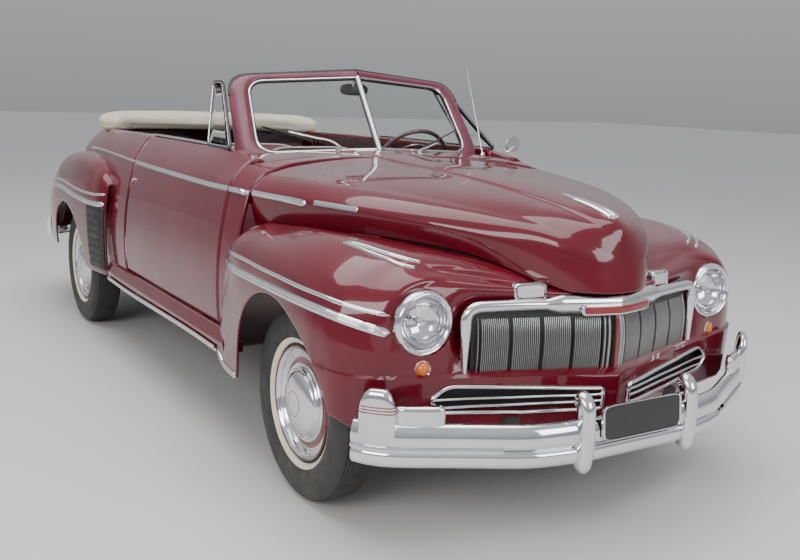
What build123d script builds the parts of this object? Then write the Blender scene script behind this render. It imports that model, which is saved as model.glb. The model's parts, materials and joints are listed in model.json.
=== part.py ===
from build123d import *
import math
import os

os.makedirs("parts", exist_ok=True)

# An open two-door car of the late 1940s, in millimetres.
# X runs forward, Y to the car's left, Z up. The origin lies on the floor under the middle of the car.

# Wheels and axles
WHEELBASE = 2997.0
FRONT_AXLE_X = 1683.0
REAR_AXLE_X = FRONT_AXLE_X - WHEELBASE
FRONT_TRACK = 1473.0
REAR_TRACK = 1524.0
TYRE_RADIUS = 355.0
TYRE_WIDTH = 168.0
TREAD_WIDTH = 118.0
RIM_RADIUS = 203.0
RIM_WIDTH = 118.0
HUBCAP_RADIUS = 133.0
HUBCAP_DEPTH = 36.0
KINGPIN_Y = 640.0
KINGPIN_RADIUS = 12.0
SPINDLE_RADIUS = 17.0
DRUM_RADIUS = 140.0
STUB_END = 20.0
FIT = 0.3
SHUT_GAP = 6.0

# Body
SKIN = 22.0
DOOR_THICKNESS = 70.0
SILL_LINE_Z = 440.0
HIP_Z = 640.0
DOOR_BOTTOM_Z = 500.0
DOOR_FRONT_X = 1008.0
DOOR_REAR_X = -300.0
DOOR_TOP_SLANT = 60.0
DOOR_HINGE_X = 1092.0
DOOR_HINGE_Y = 800.0
DOOR_HINGE_PIN_RADIUS = 6.0
HINGE_PIN_RADIUS = 4.0
DOOR_HINGE_BARREL_RADIUS = 12.0
DOOR_EDGE_RADIUS = 99.0
HOOD_REAR_X = 1175.0
HOOD_REAR_CENTRE_X = 1004.0
HOOD_REAR_PLAN = ((0, 0), (12, 250), (70, 560), (159, 735), (171, 900))
HOOD_HINGE_X = 990.0
HOOD_HINGE_Z = 1203.0
COWL_REAR_X = 800.0
BODY_SIDE_BULGE = 6.0
FIREWALL_X = 1022.0
FENDER_SKIN = 20.0
FRONT_ARCH_RADIUS = 405.0
REAR_ARCH_RADIUS = 392.0
FLOOR_TOP_Z = 412.0
FLOOR_THICKNESS = 12.0
BOOT_FLOOR_Z = 560.0
BOOT_HINGE_X = -1474.0
BOOT_HINGE_Z = 1194.0
BOOT_HINGE_Y = 300.0
BOOT_LID_HALF_WIDTH = 470.0
BOOT_LID_LOW_Z = 660.0

# Chassis
RAIL_Y = 360.0
RAIL_WIDTH = 60.0


def bulged(a, b, rise):
    """Arc from a to b in their plane of constant X, rising to the left of its direction by rise."""
    a = Vector(*a)
    b = Vector(*b)
    run = b - a
    side = Vector(0, -run.Z, run.Y).normalized()
    return Edge.make_three_point_arc(a, (a + b) * 0.5 + side * rise, b)


def line(a, b):
    return Edge.make_line(a, b)


def arc(a, middle, b):
    return Edge.make_three_point_arc(a, middle, b)


def block(x0, x1, y0, y1, z0, z1):
    size = Box(x1 - x0, y1 - y0, z1 - z0)
    return Pos((x0 + x1) / 2, (y0 + y1) / 2, (z0 + z1) / 2) * size


def rod(start, end, radius):
    start = Vector(*start)
    run = Vector(*end) - start
    return Solid.make_cylinder(radius, run.length, Plane(origin=start, z_dir=run))


def side_prism(points, y0, y1):
    """Straight-sided outline in X and Z, carried from y0 to y1."""
    outline = Wire.make_polygon([(x, y0, z) for x, z in points], close=True)
    return Solid.extrude(Face(outline), Vector(0, y1 - y0, 0))


def plan_prism(points, z0, z1):
    """Straight-sided outline in X and Y, carried from z0 to z1."""
    outline = Wire.make_polygon([(x, y, z0) for x, y in points], close=True)
    return Solid.extrude(Face(outline), Vector(0, 0, z1 - z0))


def front_prism(points, x0, x1):
    """Straight-sided outline in Y and Z, carried from x0 to x1."""
    outline = Wire.make_polygon([(x0, y, z) for y, z in points], close=True)
    return Solid.extrude(Face(outline), Vector(x1 - x0, 0, 0))


def plan_strip(points, width, z0, z1):
    """Bar of constant width that follows points in X and Y, with round corners."""
    pieces = []
    for (xa, ya), (xb, yb) in zip(points, points[1:]):
        run = math.hypot(xb - xa, yb - ya)
        turn = math.degrees(math.atan2(yb - ya, xb - xa))
        bar = Pos(run / 2, 0, (z1 - z0) / 2) * Box(run, width, z1 - z0)
        pieces.append(Pos(xa, ya, z0) * Rot(0, 0, turn) * bar)
    for xa, ya in points[1:-1]:
        pieces.append(Pos(xa, ya, (z0 + z1) / 2) * Cylinder(width / 2, z1 - z0))
    whole = pieces[0]
    for piece in pieces[1:]:
        whole = whole + piece
    return whole


def mirrored(shape):
    return shape.mirror(Plane.XZ)


def bodies_of(shape):
    return [solid for solid in shape.solids() if solid.volume > 1000.0]


def save(name, *shapes):
    solids = []
    for shape in shapes:
        solids.extend(bodies_of(shape))
    if len(solids) == 1:
        export_step(solids[0], "parts/" + name + ".step")
    else:
        export_step(Compound(children=solids), "parts/" + name + ".step")


# Cross-sections of the bonnet, each mirrored in the middle plane of the car.
# Columns: x, low_y, low_z, belt_y, belt_z, shoulder_y, shoulder_z, crease_y, crease_z, top_z, lean
HOOD_SECTIONS = (
    (960.0, 800.0, 900.0, 803.0, 1062.0, 690.0, 1140.0, 126.0, 1186.0, 1194.0, 0.0),
    (1165.0, 745.0, 915.0, 775.0, 1060.0, 650.0, 1128.0, 120.0, 1172.0, 1180.0, 0.0),
    (1476.0, 660.0, 952.0, 690.0, 1054.0, 565.0, 1118.0, 116.0, 1163.0, 1170.0, 0.0),
    (1836.0, 530.0, 966.0, 547.0, 1040.0, 430.0, 1100.0, 110.0, 1142.0, 1150.0, 0.0),
    (2118.0, 360.0, 940.0, 376.0, 1010.0, 290.0, 1070.0, 99.0, 1112.0, 1122.0, 0.0),
    (2282.0, 235.0, 878.0, 242.0, 975.0, 195.0, 1040.0, 88.0, 1086.0, 1098.0, 0.0),
    (2372.0, 160.0, 845.0, 162.0, 940.0, 130.0, 1003.0, 72.0, 1045.0, 1062.0, 0.10),
    (2404.0, 105.0, 838.0, 106.0, 915.0, 88.0, 968.0, 48.0, 1006.0, 1020.0, 0.16),
)
HOOD_SIDE_BULGE = 5.0
HOOD_BELT_BULGE = 16.0
HOOD_TOP_BULGE = 9.0
NOSE_TOP_Z = 1051.0

# Cross-sections of the cowl and the body sides down to the sill.
# Columns: x, belt_y, belt_z, shoulder_y, shoulder_z, crease_y, crease_z, top_z
COWL_SECTIONS = (
    (760.0, 795.0, 1066.0, 706.0, 1160.0, 130.0, 1192.0, 1200.0),
    (1000.0, 794.0, 1064.0, 686.0, 1140.0, 125.0, 1183.0, 1190.0),
    (1175.0, 772.0, 1060.0, 648.0, 1127.0, 120.0, 1171.0, 1179.0),
    (1330.0, 735.0, 1057.0, 608.0, 1122.0, 118.0, 1167.0, 1175.0),
)

# Cross-sections of the body side at the doors and quarters.
# Columns: x, sill_y, hip_y, belt_y, belt_z, deck_y, deck_z
SIDE_SECTIONS = (
    (1120.0, 833.0, 848.0, 795.0, 1066.0, 700.0, 1188.0),
    (360.0, 836.0, 852.0, 795.0, 1066.0, 706.0, 1190.0),
    (-600.0, 836.0, 852.0, 784.0, 1066.0, 702.0, 1188.0),
    (-1450.0, 790.0, 815.0, 750.0, 1066.0, 672.0, 1172.0),
)

# Cross-sections of the rear body behind the cabin.
# Columns: x, low_y, low_z, side_y, side_z, belt_y, belt_z, deck_y, deck_z, top_z
REAR_SECTIONS = (
    (-1240.0, 806.0, 440.0, 828.0, 640.0, 761.0, 1066.0, 686.0, 1177.0, 1200.0),
    (-1500.0, 770.0, 440.0, 790.0, 640.0, 742.0, 1055.0, 655.0, 1158.0, 1182.0),
    (-1850.0, 660.0, 440.0, 680.0, 640.0, 655.0, 985.0, 560.0, 1075.0, 1108.0),
    (-2150.0, 540.0, 450.0, 565.0, 620.0, 550.0, 850.0, 445.0, 945.0, 982.0),
    (-2340.0, 440.0, 460.0, 465.0, 580.0, 455.0, 720.0, 360.0, 800.0, 832.0),
    (-2420.0, 360.0, 470.0, 385.0, 540.0, 375.0, 620.0, 300.0, 680.0, 700.0),
)

# Cross-sections of a front fender, left side.
# Columns: x, in_y, in_z, crown_y, crown_z, shoulder_y, shoulder_z, side_y, side_z, low_y, low_z
FRONT_FENDER_SECTIONS = (
    (1118.0, 780.0, 846.0, 828.0, 858.0, 846.0, 836.0, 856.0, 700.0, 853.0, 415.0),
    (1242.0, 707.0, 907.0, 800.0, 926.0, 866.0, 872.0, 886.0, 730.0, 868.0, 405.0),
    (1476.0, 640.0, 935.0, 762.0, 960.0, 868.0, 900.0, 909.0, 745.0, 888.0, 420.0),
    (1700.0, 563.0, 948.0, 755.0, 970.0, 878.0, 905.0, 922.0, 745.0, 902.0, 440.0),
    (1900.0, 477.0, 946.0, 738.0, 966.0, 874.0, 892.0, 928.0, 740.0, 906.0, 450.0),
    (2060.0, 380.0, 931.0, 712.0, 946.0, 850.0, 872.0, 916.0, 715.0, 898.0, 450.0),
    (2180.0, 295.0, 902.0, 680.0, 912.0, 806.0, 842.0, 884.0, 690.0, 876.0, 445.0),
    (2290.0, 208.0, 855.0, 640.0, 862.0, 750.0, 800.0, 822.0, 660.0, 820.0, 440.0),
)

# Cross-sections of a rear fender, left side.
# Columns: x, in_y, in_z, crown_y, crown_z, shoulder_y, shoulder_z, side_y, side_z, low_y, low_z
REAR_FENDER_SECTIONS = (
    (-604.0, 800.0, 900.0, 850.0, 900.0, 868.0, 860.0, 880.0, 700.0, 868.0, 412.0),
    (-760.0, 780.0, 1000.0, 842.0, 1006.0, 890.0, 950.0, 912.0, 760.0, 893.0, 410.0),
    (-1000.0, 760.0, 1046.0, 836.0, 1050.0, 898.0, 990.0, 926.0, 780.0, 905.0, 410.0),
    (-1314.0, 740.0, 1040.0, 822.0, 1048.0, 892.0, 980.0, 928.0, 780.0, 908.0, 420.0),
    (-1700.0, 680.0, 960.0, 785.0, 980.0, 868.0, 920.0, 910.0, 740.0, 892.0, 430.0),
    (-2050.0, 560.0, 820.0, 710.0, 850.0, 800.0, 800.0, 850.0, 660.0, 835.0, 430.0),
    (-2290.0, 430.0, 640.0, 610.0, 690.0, 690.0, 655.0, 740.0, 560.0, 730.0, 440.0),
    (-2380.0, 400.0, 540.0, 560.0, 580.0, 620.0, 560.0, 660.0, 510.0, 655.0, 450.0),
)


def hood_section(row, inset, drop):
    """Closed wire of one bonnet section, pulled in by inset and carried down by drop."""
    x, low_y, low_z, belt_y, belt_z, shoulder_y, shoulder_z, crease_y, crease_z, top_z, lean = row

    def at(y, z):
        return Vector(x + lean * (NOSE_TOP_Z - z), y, z)

    low = (low_y - inset, low_z - drop)
    belt = (belt_y - inset, belt_z - inset * 0.3)
    shoulder = (shoulder_y - inset * 0.6, shoulder_z - inset * 0.8)
    crease = (crease_y, crease_z - inset)

    def middle(a, b, rise):
        run_y = b[0] - a[0]
        run_z = b[1] - a[1]
        run = math.hypot(run_y, run_z)
        return ((a[0] + b[0]) / 2 + run_z / run * rise, (a[1] + b[1]) / 2 - run_y / run * rise)

    flank = middle(low, belt, HOOD_SIDE_BULGE)
    haunch = middle(belt, shoulder, HOOD_BELT_BULGE)
    crown = middle(shoulder, crease, HOOD_TOP_BULGE)
    edges = [
        arc(at(*low), at(*flank), at(*belt)),
        arc(at(*belt), at(*haunch), at(*shoulder)),
        arc(at(*shoulder), at(*crown), at(*crease)),
        arc(at(*crease), at(0, top_z - inset), at(-crease[0], crease[1])),
        arc(at(-crease[0], crease[1]), at(-crown[0], crown[1]), at(-shoulder[0], shoulder[1])),
        arc(at(-shoulder[0], shoulder[1]), at(-haunch[0], haunch[1]), at(-belt[0], belt[1])),
        arc(at(-belt[0], belt[1]), at(-flank[0], flank[1]), at(-low[0], low[1])),
        line(at(-low[0], low[1]), at(*low)),
    ]
    return Wire(edges)


def cowl_section(row, inset, low_z):
    x, belt_y, belt_z, shoulder_y, shoulder_z, crease_y, crease_z, top_z = row
    low = (x, 833.0 - inset, low_z)
    hip = (x, 848.0 - inset, HIP_Z)
    belt = (x, belt_y - inset, belt_z - inset * 0.3)
    shoulder = (x, shoulder_y - inset * 0.6, shoulder_z - inset * 0.8)
    crease = (x, crease_y, crease_z - inset)

    def far(point):
        return (point[0], -point[1], point[2])

    edges = [
        arc(low, hip, belt),
        bulged(belt, shoulder, -HOOD_BELT_BULGE),
        bulged(shoulder, crease, -HOOD_TOP_BULGE),
        arc(crease, (x, 0, top_z - inset), far(crease)),
        bulged(far(crease), far(shoulder), -HOOD_TOP_BULGE),
        bulged(far(shoulder), far(belt), -HOOD_BELT_BULGE),
        arc(far(belt), far(hip), far(low)),
        line(far(low), low),
    ]
    return Wire(edges)


def side_section(row, inset, low_z, lift):
    x, sill_y, hip_y, belt_y, belt_z, deck_y, deck_z = row
    low = (x, sill_y - inset, low_z)
    hip = (x, hip_y - inset, HIP_Z)
    belt = (x, belt_y - inset, belt_z)
    deck = (x, deck_y - inset, deck_z + lift)
    edges = [
        arc(low, hip, belt),
        bulged(belt, deck, -BODY_SIDE_BULGE),
        line(deck, (x, 0, deck[2])),
        line((x, 0, deck[2]), (x, 0, low_z)),
        line((x, 0, low_z), low),
    ]
    return Wire(edges)


def rear_section(row, inset, drop):
    x, low_y, low_z, side_y, side_z, belt_y, belt_z, deck_y, deck_z, top_z = row
    low = (x, low_y - inset, low_z - drop)
    side = (x, side_y - inset, side_z)
    belt = (x, belt_y - inset, belt_z - inset * 0.3)
    deck = (x, deck_y - inset * 0.6, deck_z - inset * 0.8)
    top = (x, 0, top_z - inset)

    def far(point):
        return (point[0], -point[1], point[2])

    edges = [
        arc(low, side, belt),
        bulged(belt, deck, -10.0),
        arc(deck, top, far(deck)),
        bulged(far(deck), far(belt), -10.0),
        arc(far(belt), far(side), far(low)),
        line(far(low), low),
    ]
    return Wire(edges)


def fender_section(row, inset, reach, drop):
    """Closed wire of one fender section; reach carries the inner wall further inboard."""
    x, in_y, in_z, crown_y, crown_z, shoulder_y, shoulder_z, side_y, side_z, low_y, low_z = row
    inner = (x, in_y - reach, in_z - inset)
    crown = (x, crown_y - inset * 0.2, crown_z - inset)
    shoulder = (x, shoulder_y - inset * 0.7, shoulder_z - inset * 0.7)
    side = (x, side_y - inset, side_z)
    low = (x, low_y - inset, low_z - drop)
    foot = (x, in_y - reach, low_z - drop)
    edges = [
        bulged(inner, crown, 3.0),
        bulged(crown, shoulder, 14.0),
        bulged(shoulder, side, 8.0),
        bulged(side, low, 6.0),
        line(low, foot),
        line(foot, inner),
    ]
    return Wire(edges)


def loft(wires):
    return Solid.make_loft(wires)


# Bonnet
hood_outer = loft([hood_section(row, 0.0, 0.0) for row in HOOD_SECTIONS])
hood_inner = loft([hood_section(row, SKIN, 60.0) for row in HOOD_SECTIONS[:-1]])


def across_car(step, end_x):
    """Plan of all that lies between the bonnet's rear line, moved back by step, and end_x."""
    half = [(HOOD_REAR_CENTRE_X + x - step, y) for x, y in HOOD_REAR_PLAN]
    return half + [(end_x, half[-1][1]), (end_x, -half[-1][1])] + [(x, -y) for x, y in half[:0:-1]]


rear_cut = plan_prism(across_car(0.0, 700), 600, 1400)
hood = hood_outer - hood_inner - rear_cut
hood = hood - side_prism(((1100, 985), (1178, 985), (1250, 928), (1100, 800)), -900, 900)

# Cowl with its body sides ahead of the doors
cowl_outer = loft([cowl_section(row, 0.0, SILL_LINE_Z) for row in COWL_SECTIONS])
cowl_inner = loft([cowl_section(row, SKIN, SILL_LINE_Z - 60) for row in COWL_SECTIONS])
cowl_shell = cowl_outer - cowl_inner
cowl_front = plan_prism(across_car(SHUT_GAP, 1500), SILL_LINE_Z - 100, 1400)
door_outline = (
    (DOOR_FRONT_X - DOOR_TOP_SLANT, 1300),
    (DOOR_FRONT_X, 1066),
    (DOOR_FRONT_X, DOOR_BOTTOM_Z),
    (DOOR_REAR_X, DOOR_BOTTOM_Z),
    (DOOR_REAR_X, 1300),
)
door_opening = (
    (DOOR_FRONT_X - DOOR_TOP_SLANT + SHUT_GAP, 1300),
    (DOOR_FRONT_X + SHUT_GAP, 1066),
    (DOOR_FRONT_X + SHUT_GAP, DOOR_BOTTOM_Z - SHUT_GAP),
    (DOOR_REAR_X - SHUT_GAP, DOOR_BOTTOM_Z - SHUT_GAP),
    (DOOR_REAR_X - SHUT_GAP, 1300),
)
door_hole = side_prism(door_opening, 640, 960)
cowl = cowl_shell - cowl_front - block(700, COWL_REAR_X, -560, 560, 300, 1400)
cowl = cowl - door_hole - mirrored(door_hole)
half_firewall = ((0, FLOOR_TOP_Z), (688, FLOOR_TOP_Z), (688, 1200), (520, 1200), (520, 1110), (0, 1110))
firewall = front_prism(half_firewall, FIREWALL_X, FIREWALL_X + 18) & cowl_outer
firewall = firewall + mirrored(firewall)
kick_panel = block(FIREWALL_X, HOOD_REAR_X - SHUT_GAP, 672, 688, FLOOR_TOP_Z, 1050)
gearbox_hole = block(FIREWALL_X - 20, FIREWALL_X + 60, -115, 115, FLOOR_TOP_Z - 5, 645)
cowl = cowl + firewall + kick_panel + mirrored(kick_panel) - gearbox_hole

# Doors: body side shell as thick as the whole door
side_outer = loft([side_section(row, 0.0, SILL_LINE_Z, 0.0) for row in SIDE_SECTIONS])
side_inner = loft([side_section(row, DOOR_THICKNESS, SILL_LINE_Z - 20, 30.0) for row in SIDE_SECTIONS])
side_shell = side_outer - side_inner
door = side_shell & side_prism(door_outline, 500, 960)
door = door - Pos(DOOR_HINGE_X, DOOR_HINGE_Y, HIP_Z) * Cylinder(DOOR_EDGE_RADIUS, 900)
hinge_arm = (
    (DOOR_HINGE_X - 2, DOOR_HINGE_Y - 8),
    (DOOR_HINGE_X - 44, DOOR_HINGE_Y - 94),
    (DOOR_HINGE_X - 110, DOOR_HINGE_Y - 78),
    (DOOR_HINGE_X - 124, DOOR_HINGE_Y + 3),
)
HINGE_HEIGHTS = (580.0, 780.0)
for height in HINGE_HEIGHTS:
    barrel = Pos(DOOR_HINGE_X, DOOR_HINGE_Y, height) * Cylinder(DOOR_HINGE_BARREL_RADIUS, 40)
    strap = plan_strip(hinge_arm, 12, height - 20, height + 20)
    bore = Pos(DOOR_HINGE_X, DOOR_HINGE_Y, height) * Cylinder(DOOR_HINGE_PIN_RADIUS + FIT, 60)
    door = door + ((strap + barrel) - bore)
save("door_left", door)
save("door_right", mirrored(door))
for height in HINGE_HEIGHTS:
    pin = Pos(DOOR_HINGE_X, DOOR_HINGE_Y, height) * Cylinder(DOOR_HINGE_PIN_RADIUS, 76)
    for end in (-1, 1):
        ear = Pos(DOOR_HINGE_X + 30, DOOR_HINGE_Y, height + end * 28) * Box(84, 20, 12)
        pin = pin + ear
    post = block(DOOR_HINGE_X + 55, DOOR_HINGE_X + 75, 680, DOOR_HINGE_Y + 14, height - 34, height + 34)
    pin = pin + post
    cowl = cowl + pin + mirrored(pin)


def lid_hinge(x, y, z, side):
    """Fixed ears with their pin, and the lug on the lid that lies towards side."""
    pin = Pos(x, y, z) * Rot(90, 0, 0) * Cylinder(HINGE_PIN_RADIUS, 60)
    for end in (-1, 1):
        pin = pin + Pos(x - side * 4, y + end * 26, z - 9) * Box(16, 8, 34)
    lug = Pos(x, y, z) * Rot(90, 0, 0) * Cylinder(HINGE_PIN_RADIUS + 4, 42)
    lug = lug + Pos(x + side * 13, y, z) * Box(26, 42, 12) + Pos(x + side * 24, y, z - 12) * Box(16, 42, 36)
    return pin, lug - Pos(x, y, z) * Rot(90, 0, 0) * Cylinder(HINGE_PIN_RADIUS + FIT, 60)


fixed, lug = lid_hinge(HOOD_HINGE_X, 0, HOOD_HINGE_Z, 1)
cowl = cowl + (fixed - cowl_inner)
hood = hood + (lug - hood_inner)
save("cowl", cowl)
save("hood", hood)

# Quarters and rear body
quarter = side_shell & block(-1245, DOOR_REAR_X - SHUT_GAP, 500, 960, 300, 1300)
rear_outer = loft([rear_section(row, 0.0, 0.0) for row in REAR_SECTIONS])
rear_inner = loft([rear_section(row, SKIN, 60.0) for row in REAR_SECTIONS[:-1]])
rear_shell = rear_outer - rear_inner - block(-1460, -1000, -640, 640, 300, 1300)
arch_cut = Pos(REAR_AXLE_X, 800, TYRE_RADIUS) * Rot(90, 0, 0) * Cylinder(REAR_ARCH_RADIUS, 400)
lid_box = block(-2600, BOOT_HINGE_X - 8, -BOOT_LID_HALF_WIDTH, BOOT_LID_HALF_WIDTH, BOOT_LID_LOW_Z, 1400)
lid_hole = block(
    -2600,
    BOOT_HINGE_X - 8 + SHUT_GAP,
    -BOOT_LID_HALF_WIDTH - SHUT_GAP,
    BOOT_LID_HALF_WIDTH + SHUT_GAP,
    BOOT_LID_LOW_Z - SHUT_GAP,
    1400,
)
boot_lid = rear_shell & lid_box
rear_body = rear_shell - lid_hole + quarter + mirrored(quarter)
rear_body = rear_body - arch_cut - mirrored(arch_cut)
for y in (-BOOT_HINGE_Y, BOOT_HINGE_Y):
    fixed, lug = lid_hinge(BOOT_HINGE_X, y, BOOT_HINGE_Z, -1)
    rear_body = rear_body + (fixed - rear_inner)
    boot_lid = boot_lid + (lug - rear_inner)
save("rear_body", rear_body)
save("boot_lid", boot_lid)

# Fenders


def hollow_rows(rows, wall):
    """The same sections with the first and the last pulled in by wall along the car."""
    step = math.copysign(wall, rows[-1][0] - rows[0][0])
    first = (rows[0][0] + step,) + rows[0][1:]
    last = (rows[-1][0] - step,) + rows[-1][1:]
    return [first] + list(rows[1:-1]) + [last]


front_fender_outer = loft([fender_section(row, 0.0, 0.0, 0.0) for row in FRONT_FENDER_SECTIONS])
inner_rows = hollow_rows(FRONT_FENDER_SECTIONS, FENDER_SKIN)
front_fender_inner = loft([fender_section(row, FENDER_SKIN, 60.0, 60.0) for row in inner_rows])
front_arch = Pos(FRONT_AXLE_X, 800, TYRE_RADIUS) * Rot(90, 0, 0) * Cylinder(FRONT_ARCH_RADIUS, 400)
FRONT_PLAN = (
    (2408, 0), (2394, 60), (2342, 235), (2292, 400), (2254, 530), (2236, 640), (2222, 740), (2170, 830),
    (2100, 900),
    (2040, 960),
)


def behind(plan, step):
    """Everything behind the front plan line moved back by step."""
    return plan_prism([(x - step, y) for x, y in plan] + [(900, 960), (900, 0)], 250, 1150)


front_fender = front_fender_outer & behind(FRONT_PLAN, 0)
front_fender = front_fender - (front_fender_inner & behind(FRONT_PLAN, 24)) - front_arch - cowl_outer
rear_fender_outer = loft([fender_section(row, 0.0, 0.0, 0.0) for row in REAR_FENDER_SECTIONS])
inner_rows = hollow_rows(REAR_FENDER_SECTIONS, FENDER_SKIN)
rear_fender_inner = loft([fender_section(row, FENDER_SKIN, 60.0, 60.0) for row in inner_rows])
rear_fender = rear_fender_outer - rear_fender_inner - arch_cut - rear_outer - side_outer
save("rear_fender_left", rear_fender)
save("rear_fender_right", mirrored(rear_fender))

# Road wheels: Y is the wheel's own axle; outward is away from the middle of the car
AXLES = (
    ("front", FRONT_AXLE_X, FRONT_TRACK / 2),
    ("rear", REAR_AXLE_X, REAR_TRACK / 2),
)


def turned(edges, centre):
    """Closed profile of edges in the plane X = 0, turned about the wheel's axle through centre."""
    face = Face(Wire(edges))
    whole = Solid.revolve(face, 360, Axis((0, 0, 0), (0, 1, 0)))
    return Pos(*centre) * whole


def polyline_edges(points):
    return [line((0, ya, ra), (0, yb, rb)) for (ya, ra), (yb, rb) in zip(points, points[1:])]


def cap_arc(base, radius, height):
    """Profile of a ball's cap: from its rim at base to its pole on the axle, square to the axle there."""
    ball = (radius * radius + height * height) / (2 * height)
    half = radius / 2
    rise = height - ball + math.sqrt(ball * ball - half * half)
    return arc((0, base, radius), (0, base + rise, half), (0, base + height, 0))


def tyre_at(centre):
    tread = TREAD_WIDTH / 2
    bead = RIM_WIDTH / 2 - 2
    side = TYRE_WIDTH / 2
    inner = RIM_RADIUS - 3
    edges = [
        line((0, -bead, inner), (0, -bead, inner + 14)),
        arc((0, -bead, inner + 14), (0, -side, 285), (0, -tread, TYRE_RADIUS - 6)),
        arc((0, -tread, TYRE_RADIUS - 6), (0, 0, TYRE_RADIUS), (0, tread, TYRE_RADIUS - 6)),
        arc((0, tread, TYRE_RADIUS - 6), (0, side, 285), (0, bead, inner + 14)),
        line((0, bead, inner + 14), (0, bead, inner)),
        line((0, bead, inner), (0, -bead, inner)),
    ]
    return turned(edges, centre)


def wheel_at(centre):
    flange = RIM_WIDTH / 2 + 2
    bead = RIM_WIDTH / 2 - 1
    inner = RIM_RADIUS - 3 - FIT
    bore = SPINDLE_RADIUS + FIT
    disc_r = inner - 16
    edges = polyline_edges(
        (
            (STUB_END, 0),
            (STUB_END, bore),
            (-44, bore),
            (-44, 38),
            (0, 38),
            (0, DRUM_RADIUS - 10),
            (-44, DRUM_RADIUS - 10),
            (-44, DRUM_RADIUS),
            (8, DRUM_RADIUS),
            (20, DRUM_RADIUS + 16),
            (18, disc_r),
            (-flange + 12, disc_r),
            (-flange, disc_r + 2),
            (-flange, RIM_RADIUS + 8),
            (-bead, RIM_RADIUS + 8),
            (-bead, inner),
            (bead, inner),
            (bead, RIM_RADIUS + 8),
            (flange, RIM_RADIUS + 8),
            (flange, disc_r + 2),
            (flange - 12, disc_r),
            (30, disc_r),
            (34, DRUM_RADIUS + 12),
            (31, HUBCAP_RADIUS),
            (38, HUBCAP_RADIUS),
        )
    )
    edges.append(cap_arc(38, HUBCAP_RADIUS, HUBCAP_DEPTH))
    edges.append(line((0, 38 + HUBCAP_DEPTH, 0), (0, STUB_END, 0)))
    return turned(edges, centre)


for axle, x, half_track in AXLES:
    centre = (x, half_track, TYRE_RADIUS)
    tyre = tyre_at(centre)
    wheel = wheel_at(centre)
    save("tyre_" + axle + "_left", tyre)
    save("tyre_" + axle + "_right", mirrored(tyre))
    save("wheel_" + axle + "_left", wheel)
    save("wheel_" + axle + "_right", mirrored(wheel))

# Front axle, king pins and knuckles
EYE_RADIUS = 24.0
EYE_LOW_Z = 300.0
EYE_TOP_Z = 376.0
EAR_THICKNESS = 24.0
beam = block(FRONT_AXLE_X - 23, FRONT_AXLE_X + 23, -KINGPIN_Y + 10, KINGPIN_Y - 10, 312, 364)
beam = beam - block(FRONT_AXLE_X + 8, FRONT_AXLE_X + 30, -560, 560, 324, 352)
beam = beam - block(FRONT_AXLE_X - 30, FRONT_AXLE_X - 8, -560, 560, 324, 352)
for side in (-1, 1):
    eye_middle = (FRONT_AXLE_X, side * KINGPIN_Y, (EYE_LOW_Z + EYE_TOP_Z) / 2)
    eye = Pos(*eye_middle) * Cylinder(EYE_RADIUS, EYE_TOP_Z - EYE_LOW_Z)
    bore = Pos(FRONT_AXLE_X, side * KINGPIN_Y, 340) * Cylinder(KINGPIN_RADIUS + FIT, 200)
    perch = block(FRONT_AXLE_X - 20, FRONT_AXLE_X + 20, side * 540 - 16, side * 540 + 16, 360, 378)
    beam = beam + eye - bore + perch

PLATE_Y = FRONT_TRACK / 2 - 54.0
ARM_LENGTH = 158.0
ARM_Z = 275.0
TIE_STUD_RADIUS = 8.0
knuckle = Pos(FRONT_AXLE_X, KINGPIN_Y, 339) * Cylinder(KINGPIN_RADIUS, 2 * 62)
UPPER_EAR = (EYE_TOP_Z + FIT, EYE_TOP_Z + FIT + EAR_THICKNESS)
LOWER_EAR = (EYE_LOW_Z - FIT - EAR_THICKNESS, EYE_LOW_Z - FIT)
for low, top in (UPPER_EAR, LOWER_EAR):
    knuckle = knuckle + Pos(FRONT_AXLE_X, KINGPIN_Y, (low + top) / 2) * Cylinder(EYE_RADIUS, top - low)
    knuckle = knuckle + block(FRONT_AXLE_X - 24, FRONT_AXLE_X + 24, KINGPIN_Y, PLATE_Y, low, top)
knuckle = knuckle + block(
    FRONT_AXLE_X - 24, FRONT_AXLE_X + 24, KINGPIN_Y + 30, PLATE_Y, LOWER_EAR[0], UPPER_EAR[1]
)
plate_middle = (FRONT_AXLE_X, PLATE_Y, TYRE_RADIUS)
stub_end = (FRONT_AXLE_X, FRONT_TRACK / 2 + STUB_END - FIT, TYRE_RADIUS)
knuckle = knuckle + rod(plate_middle, (FRONT_AXLE_X, PLATE_Y + 6, TYRE_RADIUS), DRUM_RADIUS - 2)
knuckle = knuckle + rod(plate_middle, stub_end, SPINDLE_RADIUS)
arm_end_x = FRONT_AXLE_X - ARM_LENGTH
knuckle = knuckle + block(arm_end_x, FRONT_AXLE_X, KINGPIN_Y - 12, KINGPIN_Y + 12, ARM_Z, ARM_Z + 18)
knuckle = knuckle + Pos(arm_end_x, KINGPIN_Y, ARM_Z + 9) * Cylinder(18, 18)
knuckle = knuckle - Pos(arm_end_x, KINGPIN_Y, ARM_Z) * Cylinder(TIE_STUD_RADIUS + FIT, 60)
save("knuckle_left", knuckle)
save("knuckle_right", mirrored(knuckle))
tie_rod = rod((arm_end_x, -KINGPIN_Y, ARM_Z - 16), (arm_end_x, KINGPIN_Y, ARM_Z - 16), 11)
for side in (-1, 1):
    arm_y = side * KINGPIN_Y
    tie_rod = tie_rod + rod((arm_end_x, arm_y, ARM_Z - 30), (arm_end_x, arm_y, ARM_Z - FIT), 15)
    tie_rod = tie_rod + rod((arm_end_x, arm_y, ARM_Z - 20), (arm_end_x, arm_y, ARM_Z + 16), TIE_STUD_RADIUS)
save("tie_rod", tie_rod)

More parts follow.
